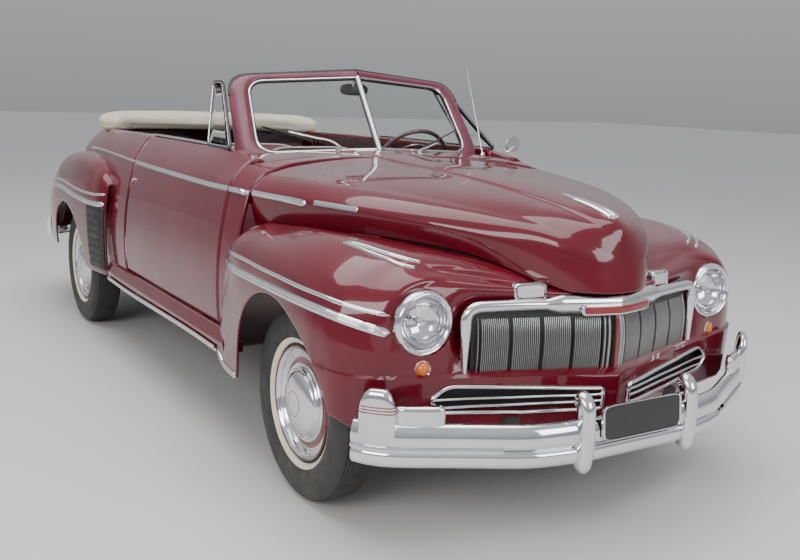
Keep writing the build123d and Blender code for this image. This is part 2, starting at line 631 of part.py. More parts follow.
# Rear axle with its housing, torque tube and stub shafts
rear_plate_y = REAR_TRACK / 2 - 54.0
rear_axle = rod((REAR_AXLE_X, -rear_plate_y, TYRE_RADIUS), (REAR_AXLE_X, rear_plate_y, TYRE_RADIUS), 38)
rear_axle = rear_axle + Pos(REAR_AXLE_X, 0, TYRE_RADIUS) * Sphere(118)
for side in (-1, 1):
    plate_in, plate_out, shaft_out = [
        (REAR_AXLE_X, side * y, TYRE_RADIUS)
        for y in (rear_plate_y, rear_plate_y + 6, REAR_TRACK / 2 + STUB_END - FIT)
    ]
    rear_axle = rear_axle + rod(plate_in, plate_out, DRUM_RADIUS - 2)
    rear_axle = rear_axle + rod(plate_in, shaft_out, SPINDLE_RADIUS)
    arm_low_y, arm_top_y = side * 545 - 14, side * 545 + 14
    rear_axle = rear_axle + block(REAR_AXLE_X - 212, REAR_AXLE_X, arm_low_y, arm_top_y, 340, 370)
    rear_axle = rear_axle + block(REAR_AXLE_X - 212, REAR_AXLE_X - 168, arm_low_y, arm_top_y, 340, 386)
rear_axle = rear_axle + rod((REAR_AXLE_X, 0, TYRE_RADIUS), (700, 0, 360), 34)

REAR_SPRING_X = REAR_AXLE_X - 190.0
RADIATOR_LOW_Z = 450.0
HANGER_Z = 305.0
MUFFLER_RADIUS = 50.0
PIPE_RADIUS = 24.0
PIPE_Y = 290.0
PIPE_Z = 240.0

# Ladder frame
RAIL_TOP = (
    (2340, 440), (2200, 440), (1950, 520), (1400, 520), (1150, 400),
    (-850, 400), (-1040, 530), (-1600, 530), (-1800, 450), (-2330, 450),
)
RAIL_BOTTOM = (
    (-2330, 370), (-1780, 350), (-1580, 430), (-1060, 430), (-880, 300),
    (1180, 300), (1430, 424), (1930, 424), (2340, 370),
)
rail = side_prism(RAIL_TOP + RAIL_BOTTOM, RAIL_Y - RAIL_WIDTH / 2, RAIL_Y + RAIL_WIDTH / 2)
frame = rail + mirrored(rail)
inner_y = RAIL_Y - RAIL_WIDTH / 2 + 5
# Columns: rear x, front x, low z, top z
CROSS_MEMBERS = (
    (1650, 1716, 424, 500),
    (2240, 2300, 385, 440),
    (2085, 2150, 395, RADIATOR_LOW_Z - FIT),
    (900, 960, HANGER_Z, 340),
    (-2320, -2270, 375, 440),
    (REAR_SPRING_X - 30, REAR_SPRING_X + 30, 432, 500),
)
for x0, x1, z0, z1 in CROSS_MEMBERS:
    frame = frame + block(x0, x1, -inner_y, inner_y, z0, z1)
for end in (-1, 1):
    for side in (-1, 1):
        leg = plan_strip(((60, side * 60), (60 + end * 620, side * (inner_y + 5))), 50, 310, 380)
        frame = frame + leg
frame = frame - rod((REAR_AXLE_X, 0, TYRE_RADIUS), (720, 0, 360), 46)
save("frame", frame)

# Transverse leaf springs
SPRINGS = ((FRONT_AXLE_X, 556.0, 378.0, 424.0), (REAR_SPRING_X, 560.0, 386.0, 432.0))
springs = []
for x, half, low_z, top_z in SPRINGS:
    leaf = Wire(
        [
            arc((x - 22, -half, low_z), (x - 22, 0, top_z - 22), (x - 22, half, low_z)),
            line((x - 22, half, low_z), (x - 22, half, low_z + 12)),
            line((x - 22, half, low_z + 12), (x - 22, 60, top_z)),
            line((x - 22, 60, top_z), (x - 22, -60, top_z)),
            line((x - 22, -60, top_z), (x - 22, -half, low_z + 12)),
            line((x - 22, -half, low_z + 12), (x - 22, -half, low_z)),
        ]
    )
    springs.append(Solid.extrude(Face(leaf), Vector(44, 0, 0)))
save("front_axle", beam + springs[0])
save("rear_axle", rear_axle + springs[1])

# Engine and gearbox as one mass, radiator, exhaust and fuel tank
engine = block(1250, 2030, -230, 230, 540, 960) + block(880, 1260, -110, 110, 430, 640)
engine = engine + block(1300, 1560, -170, 170, 380, 545)
engine = engine + block(1480, 1560, -385, 385, 520 + FIT, 560)
radiator = block(2085, 2150, -290, 290, RADIATOR_LOW_Z, 930)
save("engine_block", engine - frame)
save("radiator", radiator - frame)
tank = block(-2250, -1800, -290, 290, 400, BOOT_FLOOR_Z - FLOOR_THICKNESS - FIT)
save("fuel_tank", tank - frame)
exhaust = rod((1240, PIPE_Y, PIPE_Z), (-2440, PIPE_Y, PIPE_Z), PIPE_RADIUS)
exhaust = exhaust + rod((-100, PIPE_Y, PIPE_Z), (500, PIPE_Y, PIPE_Z), MUFFLER_RADIUS)
exhaust = exhaust + block(920, 940, PIPE_Y - 10, PIPE_Y + 10, PIPE_Z + 10, HANGER_Z - FIT)
exhaust = exhaust + block(-2305, -2285, PIPE_Y - 10, PIPE_Y + 10, PIPE_Z + 10, 375 - FIT)
save("exhaust", exhaust)

# Floor, boot floor and rear wheel houses
floor = block(-1000, FIREWALL_X + 18, -800, 800, 400, 400 + 12)
floor = floor + block(-1012, -1000, -610, 610, 400, BOOT_FLOOR_Z)
floor = floor + block(-2400, -1000, -620, 620, BOOT_FLOOR_Z - 12, BOOT_FLOOR_Z)
inside = loft([rear_section(row, SKIN, 60.0) for row in REAR_SECTIONS[:-1]])
boot = floor & inside
floor = (floor & block(-1240, 1100, -778, 778, 300, 700)) + boot
for side in (-1, 1):
    outer = Pos(REAR_AXLE_X, side * 740, TYRE_RADIUS) * Rot(90, 0, 0) * Cylinder(REAR_ARCH_RADIUS + 14, 240)
    hollow = Pos(REAR_AXLE_X, side * 752, TYRE_RADIUS) * Rot(90, 0, 0) * Cylinder(REAR_ARCH_RADIUS, 240)
    house = (outer - hollow) & block(-2000, -600, -770, 770, 412, 900)
    floor = floor - hollow
    floor = floor + (house & (inside + block(-1240, -600, -778, 778, 300, 1000)))
save("floor", floor - frame - rear_body - cowl)
front_fender = front_fender - frame

# Windscreen in two flat panes that meet in a V
SCREEN_FOOT = Vector(832, 0, 1195)
SCREEN_OUT = Vector(-0.1657, 0.9853, -0.0423).normalized()
SCREEN_UP = Vector(-0.5730, 0.0, 0.8196).normalized()
SCREEN_FRAME_DEPTH = 30.0
GLASS_THICKNESS = 6.0
screen_plane = Plane(origin=SCREEN_FOOT, x_dir=SCREEN_OUT, z_dir=SCREEN_OUT.cross(SCREEN_UP))
# Columns: along the pane outwards, up the pane
FRAME_OUTLINE = ((-40, -60), (640, -60), (612, 424), (-40, 444))
PANE_OUTLINE = ((9, 2), (566, 2), (529, 372), (9, 389))
FRAME_CORNER = 90.0
PANE_CORNER = 50.0


def pane_solid(outline, corner, depth):
    """Flat plate on the plane of the left pane, its upper outer corner rounded."""
    points = [screen_plane.from_local_coords(Vector(u, v, -depth / 2)) for u, v in outline]
    face = Face(Wire.make_polygon(points, close=True))
    upper = sorted(face.vertices(), key=lambda v: (Vector(*v) - points[2]).length)[0]
    return Solid.extrude(face.fillet_2d(corner, [upper]), screen_plane.z_dir * depth)


opening = pane_solid(PANE_OUTLINE, PANE_CORNER, 80)
half_frame = pane_solid(FRAME_OUTLINE, FRAME_CORNER, SCREEN_FRAME_DEPTH) - opening
half_frame = half_frame & block(0, 1400, 0, 900, 900, 1800)
windscreen_frame = half_frame + mirrored(half_frame) - cowl_outer - door - mirrored(door)
save("windscreen_frame", windscreen_frame)
pane = tuple((u + (FIT if u < 100 else -FIT), v + (FIT if v < 100 else -FIT)) for u, v in PANE_OUTLINE)
glass = pane_solid(pane, PANE_CORNER, GLASS_THICKNESS) - cowl_outer
save("windscreen_glass", glass, mirrored(glass))

# Grille, its surround and the blank name bar: left half on a raked line in plan, then mirrored
GRILLE_CENTRE_X = 2408.0
GRILLE_SWEEP = 16.3
BAR_PITCH = 13.0
BAR_WIDTH = 6.0
GROUPS = ((44.0, 146.0), (162.0, 258.0), (274.0, 366.0), (382.0, 470.0))


def grille_plate(points, back, front):
    """Outline in run along the grille and height, standing on the raked line, from back to front."""
    face = Face(Wire.make_polygon([(back, run, z) for run, z in points], close=True))
    plate = Solid.extrude(face, Vector(front - back, 0, 0))
    return Pos(GRILLE_CENTRE_X, 0, 0) * Rot(0, 0, GRILLE_SWEEP) * plate


SURROUND_OUTLINE = (
    (-10, 545), (-10, 824), (60, 824), (300, 812), (500, 796), (540, 758), (540, 604), (505, 566),
    (300, 551),
)
MOUTH_OUTLINE = (
    (26, 578), (26, 764), (300, 764), (480, 754), (500, 736), (500, 618), (478, 592), (300, 578),
)
mouth_fill = grille_plate(MOUTH_OUTLINE, -60, 30)
surround = grille_plate(SURROUND_OUTLINE, -40, 6) - mouth_fill
surround = surround & block(2000, 2600, 0, 700, 400, 900)
grille_surround = surround + mirrored(surround)
grille_surround = grille_surround + block(GRILLE_CENTRE_X - 12, GRILLE_CENTRE_X + 12, -95, 95, 774, 800)
comb = grille_plate(MOUTH_OUTLINE, -38, -30)
for start, stop in GROUPS:
    count = int((stop - start) / BAR_PITCH)
    for step in range(count):
        run = start + step * BAR_PITCH
        fin = ((run, 575), (run + BAR_WIDTH, 575), (run + BAR_WIDTH, 770), (run, 770))
        comb = comb + (grille_plate(fin, -32, -12) & mouth_fill)
comb = comb - surround
save("grille", comb, mirrored(comb))

# Lower grille of three bars a side under a slim top rail
LOWER_TOP = ((40, 520), (60, 536), (560, 560), (600, 520), (570, 468), (60, 452), (40, 470))
LOWER_MOUTH = ((62, 470), (62, 520), (545, 542), (575, 515), (555, 484))
lower_frame = grille_plate(LOWER_TOP, -40, 4) - grille_plate(LOWER_MOUTH, -60, 30)
lower = lower_frame
for z0 in (478.0, 497.0):
    lower = lower + grille_plate(((50, z0), (50, z0 + 8), (580, z0 + 22), (580, z0 + 14)), -28, 0)
lower = lower & block(2000, 2600, 0, 700, 400, 900)
save("lower_grille", lower, mirrored(lower))
save("grille_surround", grille_surround)

# Apron behind the grilles and under the bonnet's nose
NOSE_PLAN = ((2378, 0), (2364, 60), (2312, 235), (2262, 400), (2224, 530), (2206, 640), (2190, 700))
apron_front = list(NOSE_PLAN) + [(2170, 700), (2200, 0)]
apron = plan_prism(apron_front, 440, 832)
mouth_cut = grille_plate(MOUTH_OUTLINE, -300, 60)
lower_cut = grille_plate(((62, 470), (62, 520), (545, 542), (575, 515), (555, 484)), -300, 60)
apron_back = [(x - 30, y) for x, y in NOSE_PLAN] + [(1900, 700), (1900, 0)]
apron = apron - plan_prism(apron_back, 400, 812) - mouth_cut - lower_cut
apron = (apron - surround - lower_frame - frame)
front_fender = front_fender - mouth_cut - lower_cut - surround - lower_frame
LAMP_X = 2224.0
LAMP_Y = 648.0
LAMP_Z = 756.0
LAMP_RADIUS = 106.0
LENS_RADIUS = 86.0
bucket = rod((LAMP_X - 110, LAMP_Y, LAMP_Z), (LAMP_X + 80, LAMP_Y, LAMP_Z), LAMP_RADIUS)
front_fender = front_fender - bucket
apron = apron - front_fender_outer - bucket
save("front_apron", apron + mirrored(apron))
save("front_fender_left", front_fender)
save("front_fender_right", mirrored(front_fender))
housing = rod((LAMP_X - 110, LAMP_Y, LAMP_Z), (LAMP_X + 12, LAMP_Y, LAMP_Z), LAMP_RADIUS)
housing = housing - rod((LAMP_X - 30, LAMP_Y, LAMP_Z), (LAMP_X + 60, LAMP_Y, LAMP_Z), LENS_RADIUS)
save("headlamps", housing, mirrored(housing))
lens_edges = [
    line((0, LAMP_X - 30, 0), (0, LAMP_X - 30, LENS_RADIUS)),
    line((0, LAMP_X - 30, LENS_RADIUS), (0, LAMP_X + 6, LENS_RADIUS)),
    cap_arc(LAMP_X + 6, LENS_RADIUS, 22),
    line((0, LAMP_X + 28, 0), (0, LAMP_X - 30, 0)),
]
lens = Solid.revolve(Face(Wire(lens_edges)), 360, Axis((0, 0, 0), (0, 1, 0)))
lens = Pos(0, LAMP_Y, LAMP_Z) * (Rot(0, 0, -90) * lens)
save("headlamp_lenses", lens, mirrored(lens))

# Bumpers
PLATE_BOLT_SPACING = 178.0
PLATE_BOLT_Z = 454.0
PLATE_BOLT_RADIUS = 3.5
BUMPER_Z = 422.0
BUMPER_HALF = 77.0


def bumper_bar(path, middle_z, half):
    """Convex bar carried along a path in plan."""
    start = path @ 0
    face_out = [
        line((start.X - 12, 0, middle_z - half), (start.X, 0, middle_z - half)),
        arc((start.X, 0, middle_z - half), (start.X + 20, 0, middle_z), (start.X, 0, middle_z + half)),
        line((start.X, 0, middle_z + half), (start.X - 12, 0, middle_z + half)),
        line((start.X - 12, 0, middle_z + half), (start.X - 12, 0, middle_z - half)),
    ]
    return sweep(Face(Wire(face_out)), path=path)


front_path = Wire(
    [
        line((2526, 0, BUMPER_Z), (2526, 200, BUMPER_Z)),
        Edge.make_tangent_arc((2526, 200, BUMPER_Z), (0, 1, 0), (2458, 470, BUMPER_Z)),
    ]
)
turn = front_path % 1
straight_end = front_path @ 1 + turn * 330
wrap_end = straight_end + Vector(-105, 100, 0)
front_path = Wire(
    [
        line((2526, 0, BUMPER_Z), (2526, 200, BUMPER_Z)),
        Edge.make_tangent_arc((2526, 200, BUMPER_Z), (0, 1, 0), (2458, 470, BUMPER_Z)),
        line(front_path @ 1, straight_end),
        Edge.make_tangent_arc(straight_end, turn, wrap_end),
    ]
)
half_bar = bumper_bar(front_path, BUMPER_Z, BUMPER_HALF)
OVERRIDER_SIDE = ((2480, 310), (2535, 296), (2561, 320), (2563, 500), (2548, 552), (2505, 560), (2484, 530))
overrider = side_prism(OVERRIDER_SIDE, 205, 255)
guard = plan_prism(((2250, 770), (2300, 745), (2330, 775), (2240, 880), (2195, 880), (2190, 850)), 350, 566)
bracket = block(2340 + FIT, 2515, 335, 385, 385, 440)
half_front = half_bar + overrider + guard + bracket
plate = block(2546, 2560, -160, 160, 398, 510)
plate_holes = [
    rod((2540, y, PLATE_BOLT_Z), (2570, y, PLATE_BOLT_Z), PLATE_BOLT_RADIUS)
    for y in (-PLATE_BOLT_SPACING / 2, PLATE_BOLT_SPACING / 2)
]
front_bumper = half_front + mirrored(half_front) + plate
for hole in plate_holes:
    front_bumper = front_bumper - hole
save("front_bumper", front_bumper - frame)
rear_path = Wire(
    [
        line((-2534, 0, BUMPER_Z + 40), (-2534, 300, BUMPER_Z + 40)),
        Edge.make_tangent_arc((-2534, 300, BUMPER_Z + 40), (0, 1, 0), (-2440, 620, BUMPER_Z + 40)),
    ]
)
turn = rear_path % 1
rear_end = rear_path @ 1 + turn * 120
rear_wrap = rear_end + Vector(140, 110, 0)
rear_path = Wire(
    [
        line((-2534, 0, BUMPER_Z + 40), (-2534, 300, BUMPER_Z + 40)),
        Edge.make_tangent_arc((-2534, 300, BUMPER_Z + 40), (0, 1, 0), (-2440, 620, BUMPER_Z + 40)),
        line(rear_path @ 1, rear_end),
        Edge.make_tangent_arc(rear_end, turn, rear_wrap),
    ]
)
rear_face = [
    line((-2522, 0, BUMPER_Z - 30), (-2534, 0, BUMPER_Z - 30)),
    arc((-2534, 0, BUMPER_Z - 30), (-2550, 0, BUMPER_Z + 40), (-2534, 0, BUMPER_Z + 110)),
    line((-2534, 0, BUMPER_Z + 110), (-2522, 0, BUMPER_Z + 110)),
    line((-2522, 0, BUMPER_Z + 110), (-2522, 0, BUMPER_Z - 30)),
]
half_rear = sweep(Face(Wire(rear_face)), path=rear_path)
REAR_OVERRIDER_SIDE = ((-2490, 350), (-2545, 345), (-2563, 380), (-2563, 560), (-2545, 600), (-2500, 600))
rear_over = side_prism(REAR_OVERRIDER_SIDE, 215, 265)
rear_bracket = block(-2525, -2330 - FIT, 335, 385, 385, 440)
half_rear = half_rear + rear_over + rear_bracket
save("rear_bumper", half_rear + mirrored(half_rear) - frame)

# Sills under the doors
sill = front_prism(((780, 398), (862, 398), (868, 440), (854, 488), (846, 494), (780, 494)), -598, 1112)
sill = sill - front_fender_outer - cowl_outer
sill = sill - cowl - rear_body - rear_fender_outer
save("sills", sill, mirrored(sill))

# Inside: dashboard, seats, steering column and wheel, folded top
dash = side_prism(((700, 960), (790, 960), (800, 1150), (760, 1178), (712, 1150)), -610, 610)
dash = dash - cowl - windscreen_frame - side_outer + block(690, 760, -600, 600, 960, 1100)
save("dashboard", dash - cowl - glass - mirrored(glass))
seat_outline = (
    (-320, FLOOR_TOP_Z + FIT), (170, FLOOR_TOP_Z + FIT), (195, 600), (150, 670), (-300, 640),
    (-420, 1080), (-480, 1120), (-560, 1090), (-440, FLOOR_TOP_Z + FIT),
)
front_seat = side_prism(seat_outline, -600, 600)
save("front_seat", front_seat)
rear_outline = (
    (-994, 540), (-840, 412.3), (-600, 412.3), (-590, 600), (-640, 650), (-1000, 620), (-1120, 1090),
    (-1170, 1110), (-1220, 1090), (-1110, 561), (-994, 561),
)
rear_seat = side_prism(rear_outline, -560, 560)
save("rear_seat", rear_seat)
top_rear = block(-1460 + FIT, -1240, -620, 620, 1130, 1296)
top_arm = block(-1245, -980, 540, 620, 1196, 1270)
folded_top = top_rear + top_arm + mirrored(top_arm)
save("folded_top", folded_top)
STEERING_RIM_RADIUS = 212.0
COLUMN_FOOT = Vector(1018, 380, 770)
COLUMN_HEAD = Vector(520, 380, 1068)
column_dir = (COLUMN_HEAD - COLUMN_FOOT).normalized()
column = rod(COLUMN_FOOT, COLUMN_HEAD, 24)
save("steering_column", column - dash - cowl)
WHEEL_CENTRE = COLUMN_HEAD + column_dir * 40
wheel_place = Plane(origin=WHEEL_CENTRE, z_dir=column_dir).location
hub = rod(COLUMN_HEAD + column_dir * FIT, WHEEL_CENTRE + column_dir * 20, 36)
spokes = wheel_place * Box(24, 2 * STEERING_RIM_RADIUS - 6, 10)
steering_wheel = hub + spokes + wheel_place * Torus(STEERING_RIM_RADIUS, 12)
save("steering_wheel", steering_wheel)

# Ornament along the middle of the bonnet
ORNAMENT_SIDE = ((2065, 1100), (2065, 1128), (2300, 1118), (2362, 1085), (2372, 1050), (2300, 1060))
ornament = side_prism(ORNAMENT_SIDE, -26, 26) - hood_outer
save("hood_ornament", ornament)

# Quarter lights on the doors, leaning in towards their top
VENT_CORNERS = (
    Vector(800, 704, 1188),
    Vector(520, 704, 1188),
    Vector(332, 604, 1486),
    Vector(452, 604, 1486),
)
VENT_BORDER = 16.0
VENT_DEPTH = 14.0


def vent_plate(border, depth):
    """Four-cornered plate on the quarter light's plane, pulled in by border."""
    middle = sum(VENT_CORNERS, Vector(0, 0, 0)) * 0.25
    points = [p + (middle - p).normalized() * border * 1.6 for p in VENT_CORNERS]
    face = Face(Wire.make_polygon(points, close=True))
    normal = face.normal_at()
    return Pos(*(normal * (-depth / 2))) * Solid.extrude(face, normal * depth)


vent_frame = vent_plate(0.0, VENT_DEPTH) - vent_plate(VENT_BORDER, 60.0)
vent_glass = vent_plate(VENT_BORDER + FIT, 5.0)
vent_frame = vent_frame - door - cowl_outer - windscreen_frame
save("vent_window_left", vent_frame, vent_glass)
save("vent_window_right", mirrored(vent_frame), mirrored(vent_glass))

# Mirrors, aerial and wipers
door_mirror = rod((884, 680, 1170), (884, 736, 1214), 5) + rod((878, 736, 1226), (888, 736, 1226), 40)
save("door_mirror", door_mirror - door)
inside_mirror = block(560, 572, -110, 110, 1440, 1490) + rod((568, 0, 1480), (594, 0, 1540), 7)
inside_mirror = inside_mirror - windscreen_frame - glass - mirrored(glass)
save("inside_mirror", inside_mirror)
aerial = rod((800, 624, 1143), (615, 624, 1600), 4) + rod((806, 624, 1128), (789, 624, 1176), 14)
save("aerial", aerial - cowl_outer - windscreen_frame)
wiper_foot = screen_plane.from_local_coords(Vector(214, -34, 24))
wiper_heel = screen_plane.from_local_coords(Vector(214, 4, 24))
wiper_tip = screen_plane.from_local_coords(Vector(520, 78, 12))
wiper = rod(wiper_foot, wiper_heel, 9) + rod(wiper_heel, wiper_tip, 4)
wiper = wiper - cowl_outer - windscreen_frame
save("wipers", wiper, mirrored(wiper))

# Lamps below and beside the headlamps, and at the tail
park_lamp = block(2290 + FIT, 2312, 236, 330, 826, 866) - apron - surround
turn_lamp = rod((2150, 649, 611), (2236, 649, 611), 28)
turn_lamp = turn_lamp - front_fender - apron
save("side_lamps", turn_lamp, mirrored(turn_lamp), park_lamp, mirrored(park_lamp))
tail_lamp = rod((-2200, 600, 690), (-2330, 600, 690), 36) - rear_fender_outer - rear_outer
save("tail_lamps", tail_lamp, mirrored(tail_lamp))
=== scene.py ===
import json

import bmesh
import bpy
import numpy as np
from mathutils import Matrix, Vector
from mathutils.bvhtree import BVHTree


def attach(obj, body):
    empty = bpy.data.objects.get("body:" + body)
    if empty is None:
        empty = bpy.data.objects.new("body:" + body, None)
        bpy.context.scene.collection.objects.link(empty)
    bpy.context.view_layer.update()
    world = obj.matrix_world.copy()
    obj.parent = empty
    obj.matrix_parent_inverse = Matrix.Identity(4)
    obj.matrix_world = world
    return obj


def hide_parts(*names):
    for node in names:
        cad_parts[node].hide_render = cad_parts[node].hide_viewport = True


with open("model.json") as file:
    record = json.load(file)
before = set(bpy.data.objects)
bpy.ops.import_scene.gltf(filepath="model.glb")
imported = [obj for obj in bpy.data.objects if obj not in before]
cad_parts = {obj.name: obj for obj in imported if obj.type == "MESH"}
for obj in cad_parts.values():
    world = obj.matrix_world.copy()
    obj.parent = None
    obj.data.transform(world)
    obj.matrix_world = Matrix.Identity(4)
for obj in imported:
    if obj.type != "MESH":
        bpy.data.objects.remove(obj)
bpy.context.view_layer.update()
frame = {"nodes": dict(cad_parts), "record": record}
NODES = frame["nodes"]
MM = 0.001
LEFT, RIGHT = 1.0, -1.0
SIDES = (("left", LEFT), ("right", RIGHT))
# Which ways a grid closes on itself: rows, columns
TUBE, SPUN, LOOP = (False, True), (True, False), (True, True)


# Numbers on curves and grids

def unit(vectors):
    """Vectors scaled to length one."""
    vectors = np.asarray(vectors, float)
    return vectors / np.maximum(np.linalg.norm(vectors, axis=-1, keepdims=True), 1e-9)


def around(count):
    """Angles once round, with the last step left open."""
    return np.linspace(0, 2 * np.pi, count, endpoint=False)


def through(knots, values, at):
    """Smooth curve through values at knots: cubic pieces whose slope at each knot is the mean slope there."""
    knots, values = np.asarray(knots, float), np.asarray(values, float)
    slope = np.gradient(values, knots, axis=0)
    low = np.clip(np.searchsorted(knots, at, side="right") - 1, 0, len(knots) - 2)
    gap = (knots[low + 1] - knots[low]).reshape((-1,) + (1,) * (values.ndim - 1))
    t = (at - knots[low]).reshape(gap.shape) / gap
    a, b = values[low], values[low + 1]
    da, db = slope[low] * gap, slope[low + 1] * gap
    return (a * (1 + 2 * t) * (1 - t) ** 2 + da * t * (1 - t) ** 2
            + b * t * t * (3 - 2 * t) - db * t * t * (1 - t))


def chord(points):
    """Running length of a line of points."""
    steps = np.linalg.norm(np.diff(np.asarray(points, float), axis=0), axis=1)
    return np.concatenate([[0.0], np.cumsum(steps)])


def smooth_line(points, count):
    """The line of points turned into count points of a smooth curve, evenly spaced along it."""
    points = np.asarray(points, float)
    along = chord(points)
    return through(along, points, np.linspace(0, along[-1], count))


def bowed(a, b, rise, count):
    """Straight run from a to b plus a parabola rise high at its middle, to the left in the last two axes."""
    run = (b - a)[:, None, :]
    left = np.zeros_like(run)
    left[..., -2], left[..., -1] = -run[..., -1], run[..., -2]
    t = np.linspace(0, 1, count + 1)[None, :-1, None]
    return a[:, None, :] + run * t + unit(left) * rise * 4 * t * (1 - t)


def section(corners, rises, counts, rounds=3):
    """Rows of section points: bowed runs between the corners, then each inner point drawn towards its two
    neighbours rounds times, which rounds the corners off."""
    corners = np.asarray(corners, float)
    runs = zip(rises, counts)
    parts = [bowed(corners[:, k], corners[:, k + 1], rise, count) for k, (rise, count) in enumerate(runs)]
    line = np.concatenate(parts + [corners[:, -1:, :]], axis=1)
    for _ in range(rounds):
        line[:, 1:-1] = line[:, 1:-1] / 2 + (line[:, 2:] + line[:, :-2]) / 4
    return line


def crossing(values):
    """For each column, the row number, with its fraction, where values first turn from negative to positive."""
    above = values > 0
    row = np.clip(np.argmax(above, axis=0), 1, len(values) - 1)
    column = np.arange(values.shape[1])
    a, b = values[row - 1, column], values[row, column]
    part = np.clip(-a / np.where(np.abs(b - a) < 1e-12, 1.0, b - a), 0, 1)
    found = np.where(above.any(axis=0), row - 1 + part, len(values) - 1.0)
    return np.where(above[0], 0.0, found)


def trimmed(grid, start, end, count):
    """Grid cut along its rows: column by column, count rows from row number start to row number end."""
    n, m = grid.shape[:2]
    rows = np.broadcast_to(start + (end - start) * np.linspace(0, 1, count)[:, None], (count, m))
    low = np.clip(np.floor(rows).astype(int), 0, n - 2)
    part = (rows - low)[..., None]
    column = np.arange(m)[None, :]
    return grid[low, column] * (1 - part) + grid[low + 1, column] * part


def across(grid):
    """Grid with its rows and columns exchanged."""
    return np.swapaxes(grid, 0, 1)


def sided(grid, side):
    """Grid made for the left side, put on the given side."""
    return grid * np.array([1.0, side, 1.0])


def both_sides(half):
    """Half section grid from the side to the middle plane, carried on to the far side by its mirror image."""
    return np.concatenate([half, sided(half[:, -2::-1], RIGHT)], axis=1)


# Making mesh objects

def faces_of(grids, wrap=(False, False)):
    """Points of grids and the four corners of each of their faces, as lists."""
    points, quads, base = [], [], 0
    for grid in grids:
        n, m = grid.shape[:2]
        index = np.arange(n * m).reshape(n, m) + base
        for axis in (0, 1):
            if wrap[axis]:
                index = np.concatenate([index, index.take([0], axis)], axis)
        quads.append(np.stack((index[:-1, :-1], index[1:, :-1], index[1:, 1:], index[:-1, 1:]), -1).reshape(-1,
                                                                                                            4))
        points.append(grid.reshape(-1, 3))
        base += n * m
    return np.concatenate(points).tolist(), np.concatenate(quads).tolist()


def shown(name, data):
    """Object of some data, put into the scene."""
    obj = bpy.data.objects.new(name, data)
    bpy.context.scene.collection.objects.link(obj)
    return obj


def mesh_of(name, grids, wrap=(False, False)):
    """Mesh of the faces of grids."""
    mesh = bpy.data.meshes.new(name)
    points, quads = faces_of(grids, wrap)
    mesh.from_pydata(points, [], quads)
    return mesh


def piece(name, grids, look, body="car_body", wall=0.0, centre=None, wrap=(False, False), sharp=35.0,
          slot=None):
    """Smooth-shaded object of one or more grids of points in metres, merged where they meet, with a wall if given.
    Faces point away from centre, which is a point or a line along X given by its Y and Z, or outwards by their own
    form if it is None. The slot argument is not used."""
    mesh = mesh_of(name, grids if isinstance(grids, (list, tuple)) else [grids], wrap)
    tidy = bmesh.new()
    tidy.from_mesh(mesh)
    bmesh.ops.remove_doubles(tidy, verts=tidy.verts, dist=2e-6)
    bmesh.ops.dissolve_degenerate(tidy, dist=1e-7, edges=tidy.edges)
    bmesh.ops.recalc_face_normals(tidy, faces=tidy.faces)
    if centre is not None:
        facing = 0.0
        for face in tidy.faces:
            spot = face.calc_center_median()
            core = Vector(centre) if len(centre) == 3 else Vector((spot.x, centre[0], centre[1]))
            facing += face.normal.dot((spot - core).normalized()) * face.calc_area()
        if facing < 0:
            bmesh.ops.reverse_faces(tidy, faces=tidy.faces)
    tidy.to_mesh(mesh)
    tidy.free()
    mesh.polygons.foreach_set("use_smooth", [True] * len(mesh.polygons))
    mesh.set_sharp_from_angle(angle=np.radians(sharp))
    obj = shown(name, mesh)
    mesh.materials.append(look)
    if wall:
        solid = obj.modifiers.new("wall", "SOLIDIFY")
        solid.thickness, solid.offset, solid.use_even_offset = wall, -1.0, False
    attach(obj, body)
    return obj


def both(name, grid, look, body="car_body", **settings):
    """A left and a right piece of one grid made for the left side; body may hold the side's word."""
    return [piece(f"{name}_{word}", sided(grid, side), look, body.format(word), **settings) for word,
            side in SIDES]


def frames_along(path, up, closed=False):
    """Unit side and rise vectors square to each step of a path, the rise as near to up as it can be."""
    way = np.roll(path, -1, axis=0) - np.roll(path, 1, axis=0) if closed else np.gradient(path, axis=0)
    way = unit(way)
    side = unit(np.cross(way, np.broadcast_to(np.asarray(up, float), path.shape)))
    return side, np.cross(side, way)


def carried(path, profile, up=(0, 0, 1), closed=False, scale=None):
    """Closed profile of (side, rise) pairs carried square to a path, its ends drawn to a point unless closed."""
    path, profile = np.asarray(path, float), np.asarray(profile, float)
    side, rise = frames_along(path, up, closed)
    size = np.ones(len(path)) if scale is None else scale
    grid = (path[:, None, :] + side[:, None, :] * profile[None, :, :1] * size[:, None, None]
            + rise[:, None, :] * profile[None, :, 1:] * size[:, None, None])
    return grid if closed else capped(grid)


def capped(grid):
    """Grid with its first and last rows drawn to a point in their middle."""
    ends = [np.repeat(row.mean(axis=1, keepdims=True), grid.shape[1], axis=1) for row in (grid[:1], grid[-1:])]
    return np.concatenate([ends[0], grid, ends[1]])


def circle(radius, count=14):
    """Round profile."""
    return np.stack([radius * np.cos(around(count)), radius * np.sin(around(count))], -1)


def powered(values, power):
    """Values raised to a power with their signs kept."""
    return np.sign(values) * np.abs(values) ** power


def oval(width, height, count=16, power=2.6):
    """Rounded rectangle: a superellipse of that width and height."""
    angle = around(count)
    return np.stack([width / 2 * powered(np.cos(angle), 2 / power),
                     height / 2 * powered(np.sin(angle), 2 / power)], -1)


